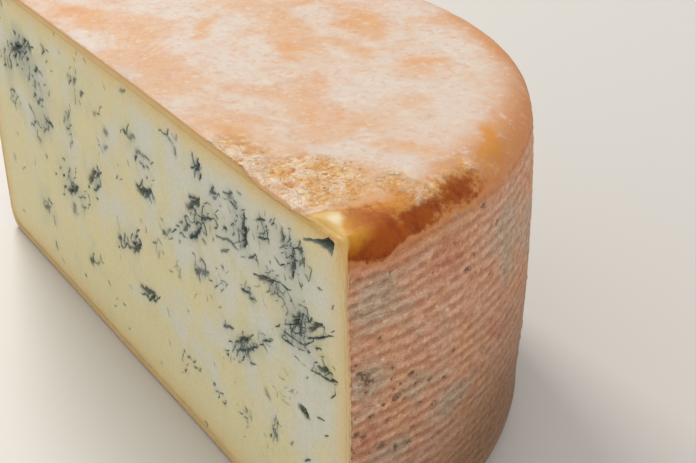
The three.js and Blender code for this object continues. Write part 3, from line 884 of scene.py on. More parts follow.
def stroke_samples(bends, half, dark, olive, draw, ends=0.3):
    """Rows of x, z, half width, darkness, olive share and sideways direction along one vein."""
    length = sum(math.dist(a, b) for a, b in zip(bends, bends[1:]))
    count = max(4, round(length / STROKE_STEP) + 1)
    line = bezier_like(bends, count)
    share = np.linspace(0, 1, count)
    heading = np.gradient(line, axis=0)
    heading /= np.maximum(np.linalg.norm(heading, axis=1), 1e-6)[:, None]
    aside = np.stack([-heading[:, 1], heading[:, 0]], 1)
    phase = draw.uniform(0, 6.3)
    wander = half * (0.3 * np.sin(share * length / 1.9 + phase)
                     + 0.15 * np.sin(share * length / 0.7 + 2 * phase))
    line = line + aside * wander[:, None]
    taper = np.sin(math.pi * np.clip(share ** draw.uniform(0.7, 1.4), 0.03, 0.97)) ** 0.7
    uneven = 1 + 0.3 * np.sin(share * length / 0.9 + 3 * phase) * np.sin(share * length / 2.3 + phase)
    width = half * (ends + (1 - ends) * taper) * uneven
    return np.column_stack([line, width, np.full(count, dark), np.full(count, olive), aside])


def curd_seams(draw):
    """Both ends of each seam between the curd's grains, over the cut: where the mould can run."""
    seeds = np.array([(draw.uniform(-156, 156), draw.uniform(-4, 134)) for _ in range(SEAM_SEEDS)])
    room = (3.1 - 0.9 * smooth(seeds[:, 0], 20, 95)) * np.array([draw.uniform(0.6, 1.4) for _ in seeds])
    seeds = seeds[thinned(seeds, room)]
    points, _, faces, _, _, _ = delaunay_2d_cdt([Vector(p) for p in seeds], [], [], 0, 1e-6)
    corners = np.array([tuple(p) for p in points])[np.array(faces, int)]
    a, b, c = corners[:, 0], corners[:, 1] - corners[:, 0], corners[:, 2] - corners[:, 0]
    double = 2 * (b[:, 0] * c[:, 1] - b[:, 1] * c[:, 0])
    bb, cc = (b ** 2).sum(1), (c ** 2).sum(1)
    middle = a + np.stack([c[:, 1] * bb - b[:, 1] * cc, b[:, 0] * cc - c[:, 0] * bb], 1) / double[:, None]
    owner, seams = {}, []
    for index, face in enumerate(faces):
        for i in range(3):
            side = (min(face[i - 1], face[i]), max(face[i - 1], face[i]))
            if side in owner:
                seams.append((owner[side], index))
            owner[side] = index
    return middle[np.array(seams)]


def vein_strokes(look):
    """Samples of every vein: those listed one by one, and those along the seams of the clusters."""
    draw = random.Random(VEIN_SEED)
    rows = []
    for half, dark, olive, *places in VEINS:
        bends = list(zip(places[::2], places[1::2]))
        thin = 1 - 0.35 * float(smooth(places[0], 85, 105))
        rows.append(stroke_samples(bends, half * thin, dark, olive, draw))
    seams = curd_seams(draw)
    centre = seams.mean(1)
    run = seams[:, 1] - seams[:, 0]
    length = np.hypot(run[:, 0], run[:, 1])
    heading = np.arctan2(run[:, 1], run[:, 0])
    chance = np.full(len(seams), 0.012)
    shade = np.full(len(seams), 0.5)
    green = np.full(len(seams), 0.5)
    for x, z, long, wide, tilt, count, dark, olive in CLUSTERS:
        angle = math.radians(tilt)
        for _ in range(round(count * look.stroke_share * float(smooth(x, 60, 100)))):
            a, b = draw.gauss(0, 0.5) * long, draw.gauss(0, 0.5) * wide
            cx = x + a * math.cos(angle) - b * math.sin(angle)
            cz = z + a * math.sin(angle) + b * math.cos(angle)
            turn = math.radians(draw.gauss(draw.choice((tilt, tilt, -50, 92)), 16))
            size = draw.lognormvariate(math.log(2.6), 0.4)
            start = (cx - size / 2 * math.cos(turn), cz - size / 2 * math.sin(turn))
            end = (cx + size / 2 * math.cos(turn), cz + size / 2 * math.sin(turn))
            bend = draw.gauss(0, 0.12) * size
            middle = (cx - bend * math.sin(turn), cz + bend * math.cos(turn))
            half = draw.lognormvariate(math.log(0.26), 0.3)
            tint = min(1.0, max(0.0, olive + draw.gauss(0, 0.2)))
            rows.append(stroke_samples([start, middle, end], half, dark * draw.uniform(0.5, 1.0), tint, draw))
        a, b = turned(centre[:, 0] - x, centre[:, 1] - z, tilt)
        fall = 1 - smooth(np.hypot(a / long, b / wide), 0.3, 1.25)
        along = 0.2 + 1.35 * np.cos(heading - angle) ** 2
        here = np.minimum(0.8, VEIN_DENSITY * count / (long * wide) * fall * along)
        better = here > chance
        chance[better], shade[better], green[better] = here[better], dark, olive
    chance *= look.stroke_share * (length > 0.5) * (length < 7) * (1 - 0.75 * smooth(centre[:, 0], 80, 104))
    for index in np.flatnonzero(np.array([draw.random() for _ in seams]) < chance):
        near = float(smooth(centre[index, 0], 20, 95))
        half = draw.lognormvariate(math.log(0.46 - 0.22 * near), 0.38)
        if draw.random() < 0.14 - 0.1 * near:
            half *= 2.0
        dark = min(1.0, shade[index] * draw.uniform(0.6, 1.15))
        olive = min(1.0, max(0.0, green[index] + draw.gauss(0, 0.15)))
        bend = run[index, ::-1] * (-1, 1) * draw.gauss(0, 0.1)
        bends = [seams[index, 0], centre[index] + bend, seams[index, 1]]
        rows.append(stroke_samples(bends, half, dark, olive, draw, 0.6))
    samples = np.concatenate(rows)
    inside = depth_from_rind(samples[:, 0], samples[:, 1]) > 4.6
    roof = (samples[:, 0] > 124) & (samples[:, 1] > 118.5)
    return samples[inside & ~roof]


def vein_cover(samples, x, z, reach):
    """Share of the cut that veins cover, smoothed over this many millimetres, at each point."""
    cell, (left, low), (columns, rows) = COVER_CELL, COVER_CORNER, COVER_CELLS
    cover = np.zeros(COVER_CELLS)
    column = ((samples[:, 0] - left) / cell).astype(int)
    row = ((samples[:, 1] - low) / cell).astype(int)
    np.add.at(cover, (column, row), samples[:, 3] * 2 * samples[:, 2] * STROKE_STEP / cell ** 2)
    span = math.ceil(3 * reach / cell)
    bell = np.exp(-0.5 * (np.arange(-span, span + 1) * cell / reach) ** 2)
    bell /= bell.sum()
    cover = np.apply_along_axis(np.convolve, 0, np.minimum(cover, 1), bell, "same")
    cover = np.apply_along_axis(np.convolve, 1, cover, bell, "same")
    # Read off between the four nearest cells.
    fx = np.clip((x - left) / cell - 0.5, 0, columns - 2)
    fz = np.clip((z - low) / cell - 0.5, 0, rows - 2)
    i, j = fx.astype(int), fz.astype(int)
    fx, fz = fx - i, fz - j
    low = cover[i, j] * (1 - fx) + cover[i + 1, j] * fx
    high = cover[i, j + 1] * (1 - fx) + cover[i + 1, j + 1] * fx
    return low * (1 - fz) + high * fz


def pocket_depth(x, z):
    """Depth of the opened pockets, and of the hollow near the corner, below the cut."""
    depth = np.zeros(len(x))
    for cx, cz, long, thick, deep, tilt in POCKETS:
        near = np.hypot(x - cx, z - cz) < 1.5 * long
        a, b = turned(x[near] - cx, z[near] - cz, tilt)
        ragged = 0.72 + 0.3 * np.sin(1.3 * a + cx) + 0.16 * np.sin(3.9 * a + 2 * b + cz)
        reach = (a / long) ** 2 + ((b + 0.4 * np.sin(0.9 * a + cz)) / (thick * ragged)) ** 2
        depth[near] = np.maximum(depth[near], deep * np.sqrt(np.clip(1 - reach, 0, 1)))
    return depth


def hollow_depth(x, z):
    """The crack that opens to a mouth near the corner, under the top rind."""
    (tip_x, tip_z), (mouth_x, mouth_z) = HOLLOW["tip"], HOLLOW["mouth"]
    share = np.clip((x - tip_x) / (mouth_x - tip_x), 0, 1)
    opening = 0.13 + 0.87 * share ** 3.2
    closing = 1 - smooth(x, mouth_x - 0.8, mouth_x + 0.5)
    middle = tip_z + (mouth_z - tip_z) * share + 1.5 * share * (1 - share)
    half = HOLLOW["half"] * opening * (0.25 + 0.75 * closing)
    across = np.abs(z - middle - 0.12 * np.sin(1.4 * x)) / np.maximum(half, 0.05)
    wall = np.clip(1 - across ** 2.6, 0, 1) ** 0.55
    along = smooth(x, tip_x - 0.4, tip_x + 0.8) * closing * smooth(depth_from_rind(x, z), 2.1, 3.0)
    return HOLLOW["deep"] * opening ** 0.6 * wall * along


def paste_points(look, samples, ring):
    """Flat points of the cut: closer near the corner, along the veins and round the hollows."""
    groups = []
    rooms = []

    def group(points, room):
        groups.append(points)
        rooms.append(np.full(len(points), room))

    group(hex_points(*HOLLOW_GRID[:3]), HOLLOW_GRID[3])
    for cx, cz, long, *_ in POCKETS:
        box = hex_points((cx - long - 1, cz - long - 1), (cx + long + 1, cz + long + 1), 0.5)
        group(box[pocket_depth(*box.T) > 0.01], 0.4)
    line, width, aside = samples[::2, :2], samples[::2, 2:3], samples[::2, 5:7]
    group(line, 0.3)
    for offset in (1.0, -1.0):
        group(line + offset * aside * np.maximum(width, 0.32), 0.3)
    for offset in (2.1, -2.1):
        group((line + offset * aside * width)[::2], 0.48)
    for *grid, room in CUT_GRIDS:
        group(hex_points(*grid), room)
    points = np.concatenate(groups)
    room = np.concatenate(rooms)
    near_corner = smooth(points[:, 0], 131, 140) * smooth(points[:, 1], 96, 116)
    thick, top_thick = look.thickness / MM, look.top_thickness / MM
    border = thick + 0.5 + (top_thick - thick) * smooth(points[:, 1], 96, 112)
    border -= 0.52 * top_thick * near_corner
    inside = depth_from_rind(points[:, 0], points[:, 1]) > border
    points, room = points[inside], room[inside]
    return points[thinned(points, room, ring)]


def make_paste_mesh(look, rind):
    """The paste, with its veins' grooves, the pockets and the hollow in the cut."""
    overlap = 0.35
    samples = vein_strokes(look)
    ring, half = cut_ring(rind.thickness / MM - overlap, rind.top_thickness / MM - overlap, 1.6)
    skin = Skin()
    loop = skin.add(upright(ring))
    ids = np.concatenate([loop, skin.add(upright(paste_points(rind, samples, ring)))])
    skin.fill(ids, skin.points[ids][:, [0, 2]], [(0, len(loop))])
    front = len(skin.points)
    revolve(skin, loop, half, flip=False)
    x, y, z = skin.points.T.copy()
    is_front = np.arange(len(x)) < front
    vein, dark, olive = vein_values(samples, x, z, is_front)
    pressed = press_edge(skin.points, outline_normals(skin.points), edge_width(x, z))
    out, up = squared(x, y, z)
    pressed = np.where(is_front[:, None], pressed, skin.points)
    theta = np.arctan2(y, x)
    pressed += np.stack([out * np.cos(theta), out * np.sin(theta), up], 1)
    now_x, now_z = pressed[:, 0], pressed[:, 2]
    hollow = np.where(is_front, hollow_depth(now_x, now_z), 0)
    pocket = np.where(is_front, pocket_depth(x, z), 0)
    depth = depth_from_rind(x, z)
    fade = smooth(depth, 2.8, 4.2)
    groove = look.groove_depth / MM * dark * np.clip(1 - vein / 1.5, 0, 1) ** 0.7
    dent = cut_depth(x, z) + np.maximum(np.maximum(groove * fade, pocket), hollow)
    pressed[:, 1] += np.where(is_front, dent, 0)
    skin.points = pressed
    values = {
        "vein": vein, "dark": dark, "olive": olive, "depth": depth,
        "cover": vein_cover(samples, x, z, 2.4), "cloud": vein_cover(samples, x, z, 7.0),
        "pocket": np.clip(pocket / 1.6, 0, 1), "hollow": np.clip(hollow / 4, 0, 1),
        "floor": HOLLOW["mouth"][1] - now_z,
        "front": is_front * fade * (hollow < 0.3),
    }
    return skin.mesh("paste", values)


def vein_values(samples, x, z, is_front):
    """For each point, how many half widths off the nearest vein it is, and what that vein is like."""
    tree = kdtree.KDTree(len(samples))
    for index, (sx, sz) in enumerate(samples[:, :2].tolist()):
        tree.insert((sx, sz, 0.0), index)
    tree.balance()
    vein = np.full(len(x), 9.0)
    dark = np.zeros(len(x))
    olive = np.zeros(len(x))
    widths = samples[:, 2]
    for index in np.flatnonzero(is_front):
        for _, other, distance in tree.find_n((x[index], z[index], 0.0), 8):
            share = distance / widths[other]
            if share < vein[index]:
                vein[index], dark[index], olive[index] = share, samples[other, 3], samples[other, 4]
    return vein, dark, olive


# ---- node helpers ----


class Value:
    """A node's output that is added, multiplied and so on like a number."""

    def __init__(self, graph, socket):
        self.graph, self.socket = graph, socket

    def __add__(self, other):
        return self.graph.math("ADD", self, other)

    def __sub__(self, other):
        return self.graph.math("SUBTRACT", self, other)

    def __rsub__(self, other):
        return self.graph.math("SUBTRACT", other, self)

    def __mul__(self, other):
        return self.graph.math("MULTIPLY", self, other)

    def __truediv__(self, other):
        return self.graph.math("DIVIDE", self, other)

    def __abs__(self):
        return self.graph.math("ABSOLUTE", self)


class Graph:
    """Adds nodes to one tree. What is fed in is a Value, a number, a vector, or a colour's name."""

    def __init__(self, tree, kind, output):
        self.tree = tree
        place = self.make(kind, output=output)
        self.here = self.vector("MULTIPLY_ADD", place, (1 / MM,) * 3, tuple(-AXIS))

    def feed(self, socket, value):
        if isinstance(value, Value):
            self.tree.links.new(value.socket, socket)
            return
        if socket.type == "RGBA":
            value = (*(srgb(*TINTS[value]) if isinstance(value, str) else value), 1.0)
        socket.default_value = value

    def node(self, kind, feeds=(), **settings):
        made = self.tree.nodes.new(kind)
        for name, value in settings.items():
            setattr(made, name, value)
        for name, value in dict(feeds).items():
            self.feed(made.inputs[name], value)
        return made

    def make(self, kind, feeds=(), output=0, **settings):
        """Adds a node and gives back one of its outputs."""
        return Value(self, self.node(kind, feeds, **settings).outputs[output])

    def math(self, operation, *values, clamp=False):
        return self.make("ShaderNodeMath", dict(enumerate(values)), operation=operation, use_clamp=clamp)

    def vector(self, operation, *values):
        """A vector operation. Scaling takes a number, and a length or a product is a number."""
        places = (0, 3) if operation == "SCALE" else (0, 1, 2)
        output = "Value" if operation in ("LENGTH", "DOT_PRODUCT") else "Vector"
        return self.make("ShaderNodeVectorMath", dict(zip(places, values)), output, operation=operation)

    def noise(self, size, detail=2.0, rough=0.5, twist=0.0, where=None, output=0):
        """Noise with grains of this size, read at the point itself unless another place is given."""
        return self.make("ShaderNodeTexNoise", {
            "Vector": where or self.here, "Scale": 1 / size, "Detail": detail, "Roughness": rough,
            "Distortion": twist}, output)

    def step(self, value, low, high, start=0.0, end=1.0):
        """Smooth rise from start to end as value goes from low to high."""
        return self.make("ShaderNodeMapRange", {
            "Value": value, "From Min": low, "From Max": high, "To Min": start, "To Max": end,
        }, interpolation_type="SMOOTHSTEP")

    def blend(self, share, first, second, kind="MIX"):
        feeds = {0: share, 6: first, 7: second}
        return self.make("ShaderNodeMix", feeds, 2, data_type="RGBA", blend_type=kind)

    def coat(self, colour, *coats):
        """The colour under coats laid on in turn: each is a share and a colour."""
        for share, coat in coats:
            colour = self.blend(share, colour, coat)
        return colour

    def shade(self, colour, *factors):
        """The colour made darker or lighter by each factor."""
        for factor in factors:
            colour = self.blend(1.0, colour, self.combine(factor, factor, factor), "MULTIPLY")
        return colour

    def combine(self, x, y, z):
        return self.make("ShaderNodeCombineXYZ", {0: x, 1: y, 2: z})

    def split(self, vector):
        parts = self.node("ShaderNodeSeparateXYZ", {0: vector}).outputs
        return [Value(self, part) for part in parts]

    def attributes(self, names):
        return (self.attribute(name) for name in names.split())


class Shader(Graph):
    """A material's tree, with the wheel's millimetres as its coordinates."""

    def __init__(self, name):
        self.material = bpy.data.materials.new(name)
        self.material.use_nodes = True
        self.material.node_tree.nodes.clear()
        super().__init__(self.material.node_tree, "ShaderNodeTexCoord", "Object")

    def attribute(self, name):
        return self.make("ShaderNodeAttribute", output="Fac", attribute_name=name)

    def finish(self, colour, roughness, bump=None, bump_depth=0.0002, **others):
        """Ends the tree in a surface. The others are named by the surface's own sockets."""
        feeds = {name.replace("_", " "): value for name, value in others.items()}
        if bump is not None:
            feeds["Normal"] = self.make(
                "ShaderNodeBump", {"Height": bump, "Distance": bump_depth, "Strength": 1.0}, "Normal")
        feeds |= {"Base Color": colour, "Roughness": roughness}
        self.node("ShaderNodeOutputMaterial", {"Surface": self.make("ShaderNodeBsdfPrincipled", feeds)})
        return self.material


class Tree(Graph):
    """A Geometry Nodes tree with named inputs, each given with its default."""

    def __init__(self, name, inputs):
        tree = bpy.data.node_groups.new(name, "GeometryNodeTree")

        def offer(label, kind, way="INPUT"):
            return tree.interface.new_socket(name=label, in_out=way, socket_type="NodeSocket" + kind)

        offer("Geometry", "Geometry")
        for label, default in inputs.items():
            offer(label, "Int" if isinstance(default, int) else "Float").default_value = default
        offer("Material", "Material")
        offer("Geometry", "Geometry", "OUTPUT")
        super().__init__(tree, "GeometryNodeInputPosition", 0)
        self.inputs = self.node("NodeGroupInput").outputs

    def given(self, label):
        return Value(self, self.inputs[label])

    def attribute(self, name):
        return self.make("GeometryNodeInputNamedAttribute", {"Name": name}, data_type="FLOAT")

    def store(self, geometry, domain="POINT", **values):
        for name, value in values.items():
            geometry = self.make("GeometryNodeStoreNamedAttribute", {
                "Geometry": geometry, "Name": name, "Value": value}, data_type="FLOAT", domain=domain)
        return geometry

    def finish(self, geometry, offset):
        """Moves the points, and ends the tree with Realize Instances and Set Material."""
        moved = self.make("GeometryNodeSetPosition", {"Geometry": geometry, "Offset": offset})
        real = self.make("GeometryNodeRealizeInstances", {"Geometry": moved})
        dressed = self.make("GeometryNodeSetMaterial", {"Geometry": real, "Material": self.given("Material")})
        self.node("NodeGroupOutput", {0: dressed})
        return self.tree


def grow(piece, tree, settings):
    """Runs a tree on a piece and keeps the result as its plain mesh."""
    modifier = piece.modifiers.new(tree.name, "NODES")
    modifier.node_group = tree
    for item in tree.interface.items_tree:
        if item.in_out == "INPUT" and item.name in settings:
            modifier[item.identifier] = settings[item.name]
    piece.update_tag()
    bpy.context.view_layer.update()
    depsgraph = bpy.context.evaluated_depsgraph_get()
    made = bpy.data.meshes.new_from_object(
        piece.evaluated_get(depsgraph), preserve_all_data_layers=True, depsgraph=depsgraph)
    piece.modifiers.clear()
    piece.data = made
    made.name = piece.name


def place(data, name):
    piece = bpy.data.objects.new(name, data)
    bpy.context.scene.collection.objects.link(piece)
    return piece


def hold(piece):
    """Keeps a finished piece inside the CAD box and ties it to the frame."""
    mesh = piece.data
    points = np.empty(len(mesh.vertices) * 3, np.float32)
    mesh.vertices.foreach_get("co", points)
    points = np.clip(points.reshape(-1, 3), np.array(CAD_LOW), np.array(CAD_HIGH)).astype(np.float32)
    mesh.vertices.foreach_set("co", points.ravel())
    mesh.polygons.foreach_set("use_smooth", np.ones(len(mesh.polygons), bool))
    mesh.update()
    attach(piece, "root")
    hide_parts("cheese")


# ---- geometry trees ----


def rind_relief_tree(look):
    """Ribs, beads, grain, crags and pits of the rind, moved along its normals."""
    tree = Tree("rind relief", {
        "Rib Pitch": RIB_PITCH * MM, "Rib Height": look.rib_height,
        "Weave Pitch": look.weave_pitch, "Weave Height": look.weave_height,
        "Grain Height": look.grain_height, "Lump Height": look.lump_height,
        "Crag Height": look.crag_height, "Pit Depth": look.pit_depth,
    })
    given, noise, step = tree.given, tree.noise, tree.step
    side, top, strip, arc, crag, pit, grey, opened, depth = tree.attributes(
        "side top strip arc crag pit grey opened depth")
    height = tree.split(tree.here)[2]
    unrolled = tree.combine(arc, 0.0, height)
    stretched = tree.vector("MULTIPLY", unrolled, (1.0, 1.0, 2.2))
    wobble = (noise(30.0, 3.0, where=stretched) - 0.5) * 1.3
    row = (height - BASE_ROUND) / (given("Rib Pitch") / MM) + wobble
    rib = tree.math("COSINE", row * (2 * math.pi)) * 0.5
    broken = step(noise(12.0, 3.0, 0.6, where=stretched), 0.34, 0.58, 0.1)
    rib = rib * (broken * step(arc, 25.0, 120.0, 1.0, 0.65)) + 0.5
    along = arc / (given("Weave Pitch") / MM) + noise(6.0, where=unrolled) * 1.5
    dash = tree.make("ShaderNodeTexVoronoi", {
        "Vector": tree.combine(along, 0.0, row * 2.0), "Scale": 1.0, "Randomness": 0.75}, "Distance")
    bead = step(dash, 0.12, 0.62, 1.0, 0.0) * step(noise(7.0, 3.0, 0.6, where=unrolled), 0.35, 0.6, 0.3)
    wrinkled = tree.vector("MULTIPLY", unrolled, (0.7, 1.0, 1.5))
    wrinkle = step(noise(3.0, 3.0, 0.65, where=wrinkled), 0.34, 0.66)
    grain = noise(1.5, 4.0, 0.6)
    pocked = pit * step(noise(1.2, 3.0, 0.6), 0.36, 0.56, 0.2, 1.15)

    def sink(share, reach):
        """How far down a share between 0 and 1 of this height leaves the surface."""
        return tree.math("SUBTRACT", 1.0, share, clamp=True) * reach

    on_side = (sink(rib, given("Rib Height")) + sink(bead, given("Weave Height"))
               + sink(noise(9.0), given("Lump Height")) + sink(wrinkle, given("Rib Height") * 1.1)
               + sink(grain, given("Grain Height")) * step(grey, -0.1, 0.5, 1.0, 1.9)
               + pocked * given("Pit Depth"))
    ridges = step(abs(noise(4.2, 3.0, 0.6, 0.9) - 0.5), 0.0, 0.16, 1.0, 0.0)
    plates = step(noise(6.5, 4.0, 0.62, 0.4), 0.43, 0.56)
    flakes = step(noise(1.7, 3.0, 0.6), 0.36, 0.68)
    craggy = plates * 0.45 + (ridges * 0.25 + flakes * 0.3)
    on_top = ((1.0 - noise(8.0, 2.5)) * (0.5 * MM) + sink(grain, 0.2 * MM) * (1.0 - crag)
              + sink(craggy, given("Crag Height")) * crag + opened * (0.35 * MM))
    layers = noise(1.0, where=tree.combine(depth * 3.0, 0.0, height * 0.12))
    down = on_side * side + on_top * top + (1.0 - layers) * (0.16 * MM) * strip
    # The material paints shade between the ribs and into the crust's low places, read from relief and crusty,
    # and a highlight on the ribs' tops.
    stored = tree.store(given("Geometry"), relief=wrinkle * 0.35 + (rib * 0.5 + bead * 0.25),
                        crusty=craggy, pocked=pocked)
    return tree.finish(stored, tree.vector("SCALE", tree.make("GeometryNodeInputNormal"), down * -1.0))


def paste_grain_tree(look):
    """Fine, slightly crumbly unevenness of the cut."""
    tree = Tree("paste grain", {"Grain Height": look.grain_height})
    crumble = tree.math("SUBTRACT", tree.noise(1.5, 3.0, 0.6), 0.35, clamp=True) * 0.4
    push = (tree.noise(5.0, 3.0) + crumble) * tree.given("Grain Height") * tree.attribute("front")
    return tree.finish(tree.given("Geometry"), tree.combine(0.0, push, 0.0))


def scatter_tree(name, where):
    """Small uneven lumps, half sunk where an attribute of the surface says."""
    tree = Tree(name, {"Density": 1000.0, "Smallest": 0.3 * MM, "Largest": 1.2 * MM,
                       "Flatness": 0.5, "Roughness": 0.3, "Seed": 1})
    given = tree.given

    def number(seed):
        return tree.make("FunctionNodeRandomValue", {"Seed": seed}, 1, data_type="FLOAT")

    def between(low, high, seed):
        feeds = {0: low, 1: high, "Seed": seed}
        return tree.make("FunctionNodeRandomValue", feeds, data_type="FLOAT_VECTOR")

    density = given("Density") * tree.attribute(where)
    spread = tree.node("GeometryNodeDistributePointsOnFaces", {
        "Mesh": given("Geometry"), "Density": density, "Seed": given("Seed")})
    points, upright = (Value(tree, spread.outputs[key]) for key in ("Points", "Rotation"))
    smallest = given("Smallest")
    size = tree.math("POWER", number(given("Seed")), 2.2) * (given("Largest") - smallest) + smallest
    shape = between((0.75, 0.5, 0.8), (1.3, 0.95, 1.1), 7)
    flat = tree.vector("MULTIPLY", shape, tree.combine(1.0, 1.0, given("Flatness")))
    spin = between((-0.35, -0.35, 0.0), (0.35, 0.35, 2 * math.pi), 3)
    turn = tree.make("FunctionNodeEulerToRotation", {"Euler": spin})
    rotation = tree.make("FunctionNodeRotateRotation", {"Rotation": upright, "Rotate By": turn},
                         rotation_space="LOCAL")
    lump = tree.make("GeometryNodeMeshIcoSphere", {"Radius": 1.0, "Subdivisions": 2})
    lumps = tree.make("GeometryNodeInstanceOnPoints", {
        "Points": points, "Instance": lump, "Rotation": rotation, "Scale": tree.vector("SCALE", flat, size)})
    stored = tree.store(lumps, "INSTANCE", tone=number(5), size=size)
    real = tree.make("GeometryNodeRealizeInstances", {"Geometry": stored})
    jitter = tree.vector("SUBTRACT", tree.noise(0.9, 2.0, 0.6, output=1), (0.5, 0.5, 0.5))
    reach = tree.attribute("size") * (given("Roughness") * 4.0)
    return tree.finish(real, tree.vector("SCALE", jitter, reach))


# ---- materials ----

# Colours of small things, as display values. The main ones are settings in the panel.
TINTS = {
    # the bare cut
    "streak": (222, 178, 124), "golden cut": (226, 174, 92), "foot": (206, 166, 104),
    # mould, and the painted shade in the hollow
    # the fringes round the veins are partly painted shade
    "fog": (182, 188, 170), "grey fringe": (122, 134, 130), "olive fringe": (146, 146, 88),
    "threads": (96, 108, 104), "grey mould": (100, 112, 106), "hollow roof shade": (8, 10, 10),
    "hollow floor": (170, 182, 164),
    # the side
    # painted shade between the ribs, and a colour both for pale flecks and for the painted highlight on the
    # ribs' tops
    "rust": (218, 146, 92), "furrow": (152, 122, 98), "painted valley shade": (204, 178, 162), "pale fleck and crest highlight": (240, 216, 190),
    # pit rim is painted shade round the pits, over their own darker colour
    "scab": (158, 112, 86), "pit rim": (140, 104, 82), "dirt": (146, 104, 78),
    # the burnt patch, with a lighter gold painted as the highlight along its top
    "ember": (162, 76, 8), "char": (134, 52, 4), "burnt patch highlight": (202, 124, 32), "olive side": (180, 114, 18),
    "olive top": (208, 144, 44), "burnt border": (208, 134, 52),
    # the top and its crust; the rim's darker orange nearest the cut is partly a painted shadow
    "near rim rust and shadow": (186, 116, 56), "far rim": (206, 136, 72), "top fleck": (214, 154, 100),
    # crack and crease are partly painted shade, glint is a painted highlight
    "dust": (236, 222, 206), "straw": (238, 192, 126), "gold": (234, 172, 76), "crack": (200, 118, 58),
    "rosy": (196, 112, 72), "white crust": (244, 224, 196), "crease": (186, 112, 60),
    "glint": (255, 236, 198), "opened": (232, 174, 84), "rust rim": (200, 126, 66),
    # cream is a painted highlight on the bare corner
    "bare": (222, 182, 104), "cream": (236, 218, 178),
    # the rind's cut edge, with a partly painted highlight on the lip's edge and a painted shadow under the
    # lip
    "hem": (248, 228, 196), "skin": (214, 150, 96), "corner skin": (222, 182, 108), "under_lip_shadow": (190, 140, 92),
    # crumbs
    "crumb shade": (226, 204, 178), "flake light": (238, 200, 150), "crumb grain": (214, 164, 110),
}


def cut_colours(shader, depth, paste):
    """Colour of the bare cut by its depth from the rind, the same in the rind and the paste."""
    noise, step = shader.noise, shader.step
    x, _, z = shader.split(shader.here)
    wander = (noise(9.0) - 0.5) * 4.0
    deep = depth + wander + (noise(1.4) - 0.5) * 0.8
    slow = noise(24.0, 3.0) + step(x, -60.0, 130.0, 0.1, -0.04)
    warm = step(slow + step(z, 0.0, 70.0, 0.22, 0.0), 0.4, 0.66)
    to_corner = step(z, 110.0, 126.0) * step(x, 20.0, 120.0, 0.55, 1.0)
    layers = noise(1.0, 3.0, 0.55, where=shader.combine(deep * 1.1, 0.0, z * 0.02))
    return shader.coat(
        shader.blend(warm, paste.cream, paste.warm),
        (step(deep, 3.0, 15.0, 0.85, 0.0), paste.beige),
        (step(deep, 2.0, 9.0, 0.9, 0.0) * to_corner, paste.amber),
        (step(layers, 0.4, 0.64) * step(deep, 1.0, 6.5, 0.5, 0.0), "streak"),
        (step(x, 124.0, 138.0) * step(z, 124.5, 128.0, 0.0, 0.75), "golden cut"),
        (step(z + wander, 1.0, 8.0, 0.45, 0.0), "foot"))


def paste_material(paste):
    """Cut paste: cream, with grey-blue round dark veins, and warmer next to the rind."""
    shader = Shader("cut paste")
    noise, step, blend, here = shader.noise, shader.step, shader.blend, shader.here
    depth, cover, cloud, dark, olive, vein, pocket, hollow, floor = shader.attributes(
        "depth cover cloud dark olive vein pocket hollow floor")
    far = cloud * step(shader.split(here)[0], -110.0, 60.0, 2.0, 0.6) * step(depth, 5.0, 16.0)
    drift = (noise(12.0, 4.0, 0.6) - 0.5) * 0.2
    puff = (noise(5.0, 4.0, 0.6) - 0.5) * 0.16
    haze = step(cover + puff, 0.0, 0.3)

    def threads(degrees, seed, length=2.6, width=0.62):
        """Fine short marks, thrown one way, where the mould is thick."""
        cos, sin = math.cos(math.radians(degrees)), math.sin(math.radians(degrees))
        along = shader.vector("DOT_PRODUCT", here, (cos / length, 0.0, sin / length))
        across = shader.vector("DOT_PRODUCT", here, (-sin / width, 0.0, cos / width))
        return step(noise(1.0, 2.0, 0.5, 0.5, shader.combine(along, seed, across)), 0.6, 0.7)

    thrown = shader.math("MAXIMUM", threads(22, 3.0), threads(-46, 8.0))
    ragged = (noise(0.8, 3.0, 0.6) - 0.5) * 1.1
    broken = (noise(2.4) - 0.5) * 0.9
    near = vein + ragged + broken
    core = step(near, 0.35, 1.2, 1.0, 0.0) * step(dark, 0.2, 0.9, 0.25, 1.0)
    ink = shader.coat(blend(olive, paste.vein, paste.olive),
                      (step(noise(1.1, 3.0, 0.6), 0.42, 0.66), "grey mould"))
    colour = shader.coat(
        cut_colours(shader, depth, paste),
        (step(far + drift, 0.0, 0.18, 0.0, 0.8), "fog"),
        (haze * step(depth, 3.0, 13.0, 0.35, 0.85), paste.halo),
        # A grey to olive fringe round each vein: mould, and partly painted shade beside the veins' grooves.
        (step(near, 0.7, 2.5, 0.5, 0.0) * dark, blend(olive, "grey fringe", "olive fringe")),
        (thrown * step(haze, 0.25, 0.8, 0.0, 0.6), "threads"),
        (core, ink),
        (step(pocket, 0.05, 0.7) * 0.8, ink),
        # Painted shade in the hollow: near black under its roof, paler grey-green towards its floor.
        (step(hollow, 0.0, 0.22), blend(step(floor, 0.5, 3.8), "hollow roof shade", "hollow floor")))
    drag = noise(1.0, 3.0, 0.6, where=shader.vector("MULTIPLY", here, (2.2, 1.0, 0.09)))
    speck = step(noise(0.8, 2.0, 0.6), 0.3, 0.7, 0.95, 1.04)
    colour = shader.shade(colour, speck, step(drag, 0.3, 0.7, 0.98, 1.015))
    bump = drag * 0.25 + (noise(0.9, 3.0, 0.6) + core * -0.8)
    return shader.finish(
        colour, step(core, 0.0, 1.0, 0.5, 0.85), bump, 0.00018, Subsurface_Scale=0.0035,
        Subsurface_Weight=step(hollow, 0.0, 0.3, 0.22, 0.0), Subsurface_Radius=(1.0, 0.75, 0.45),
        Specular_IOR_Level=step(hollow, 0.0, 0.3, 0.42, 0.03))


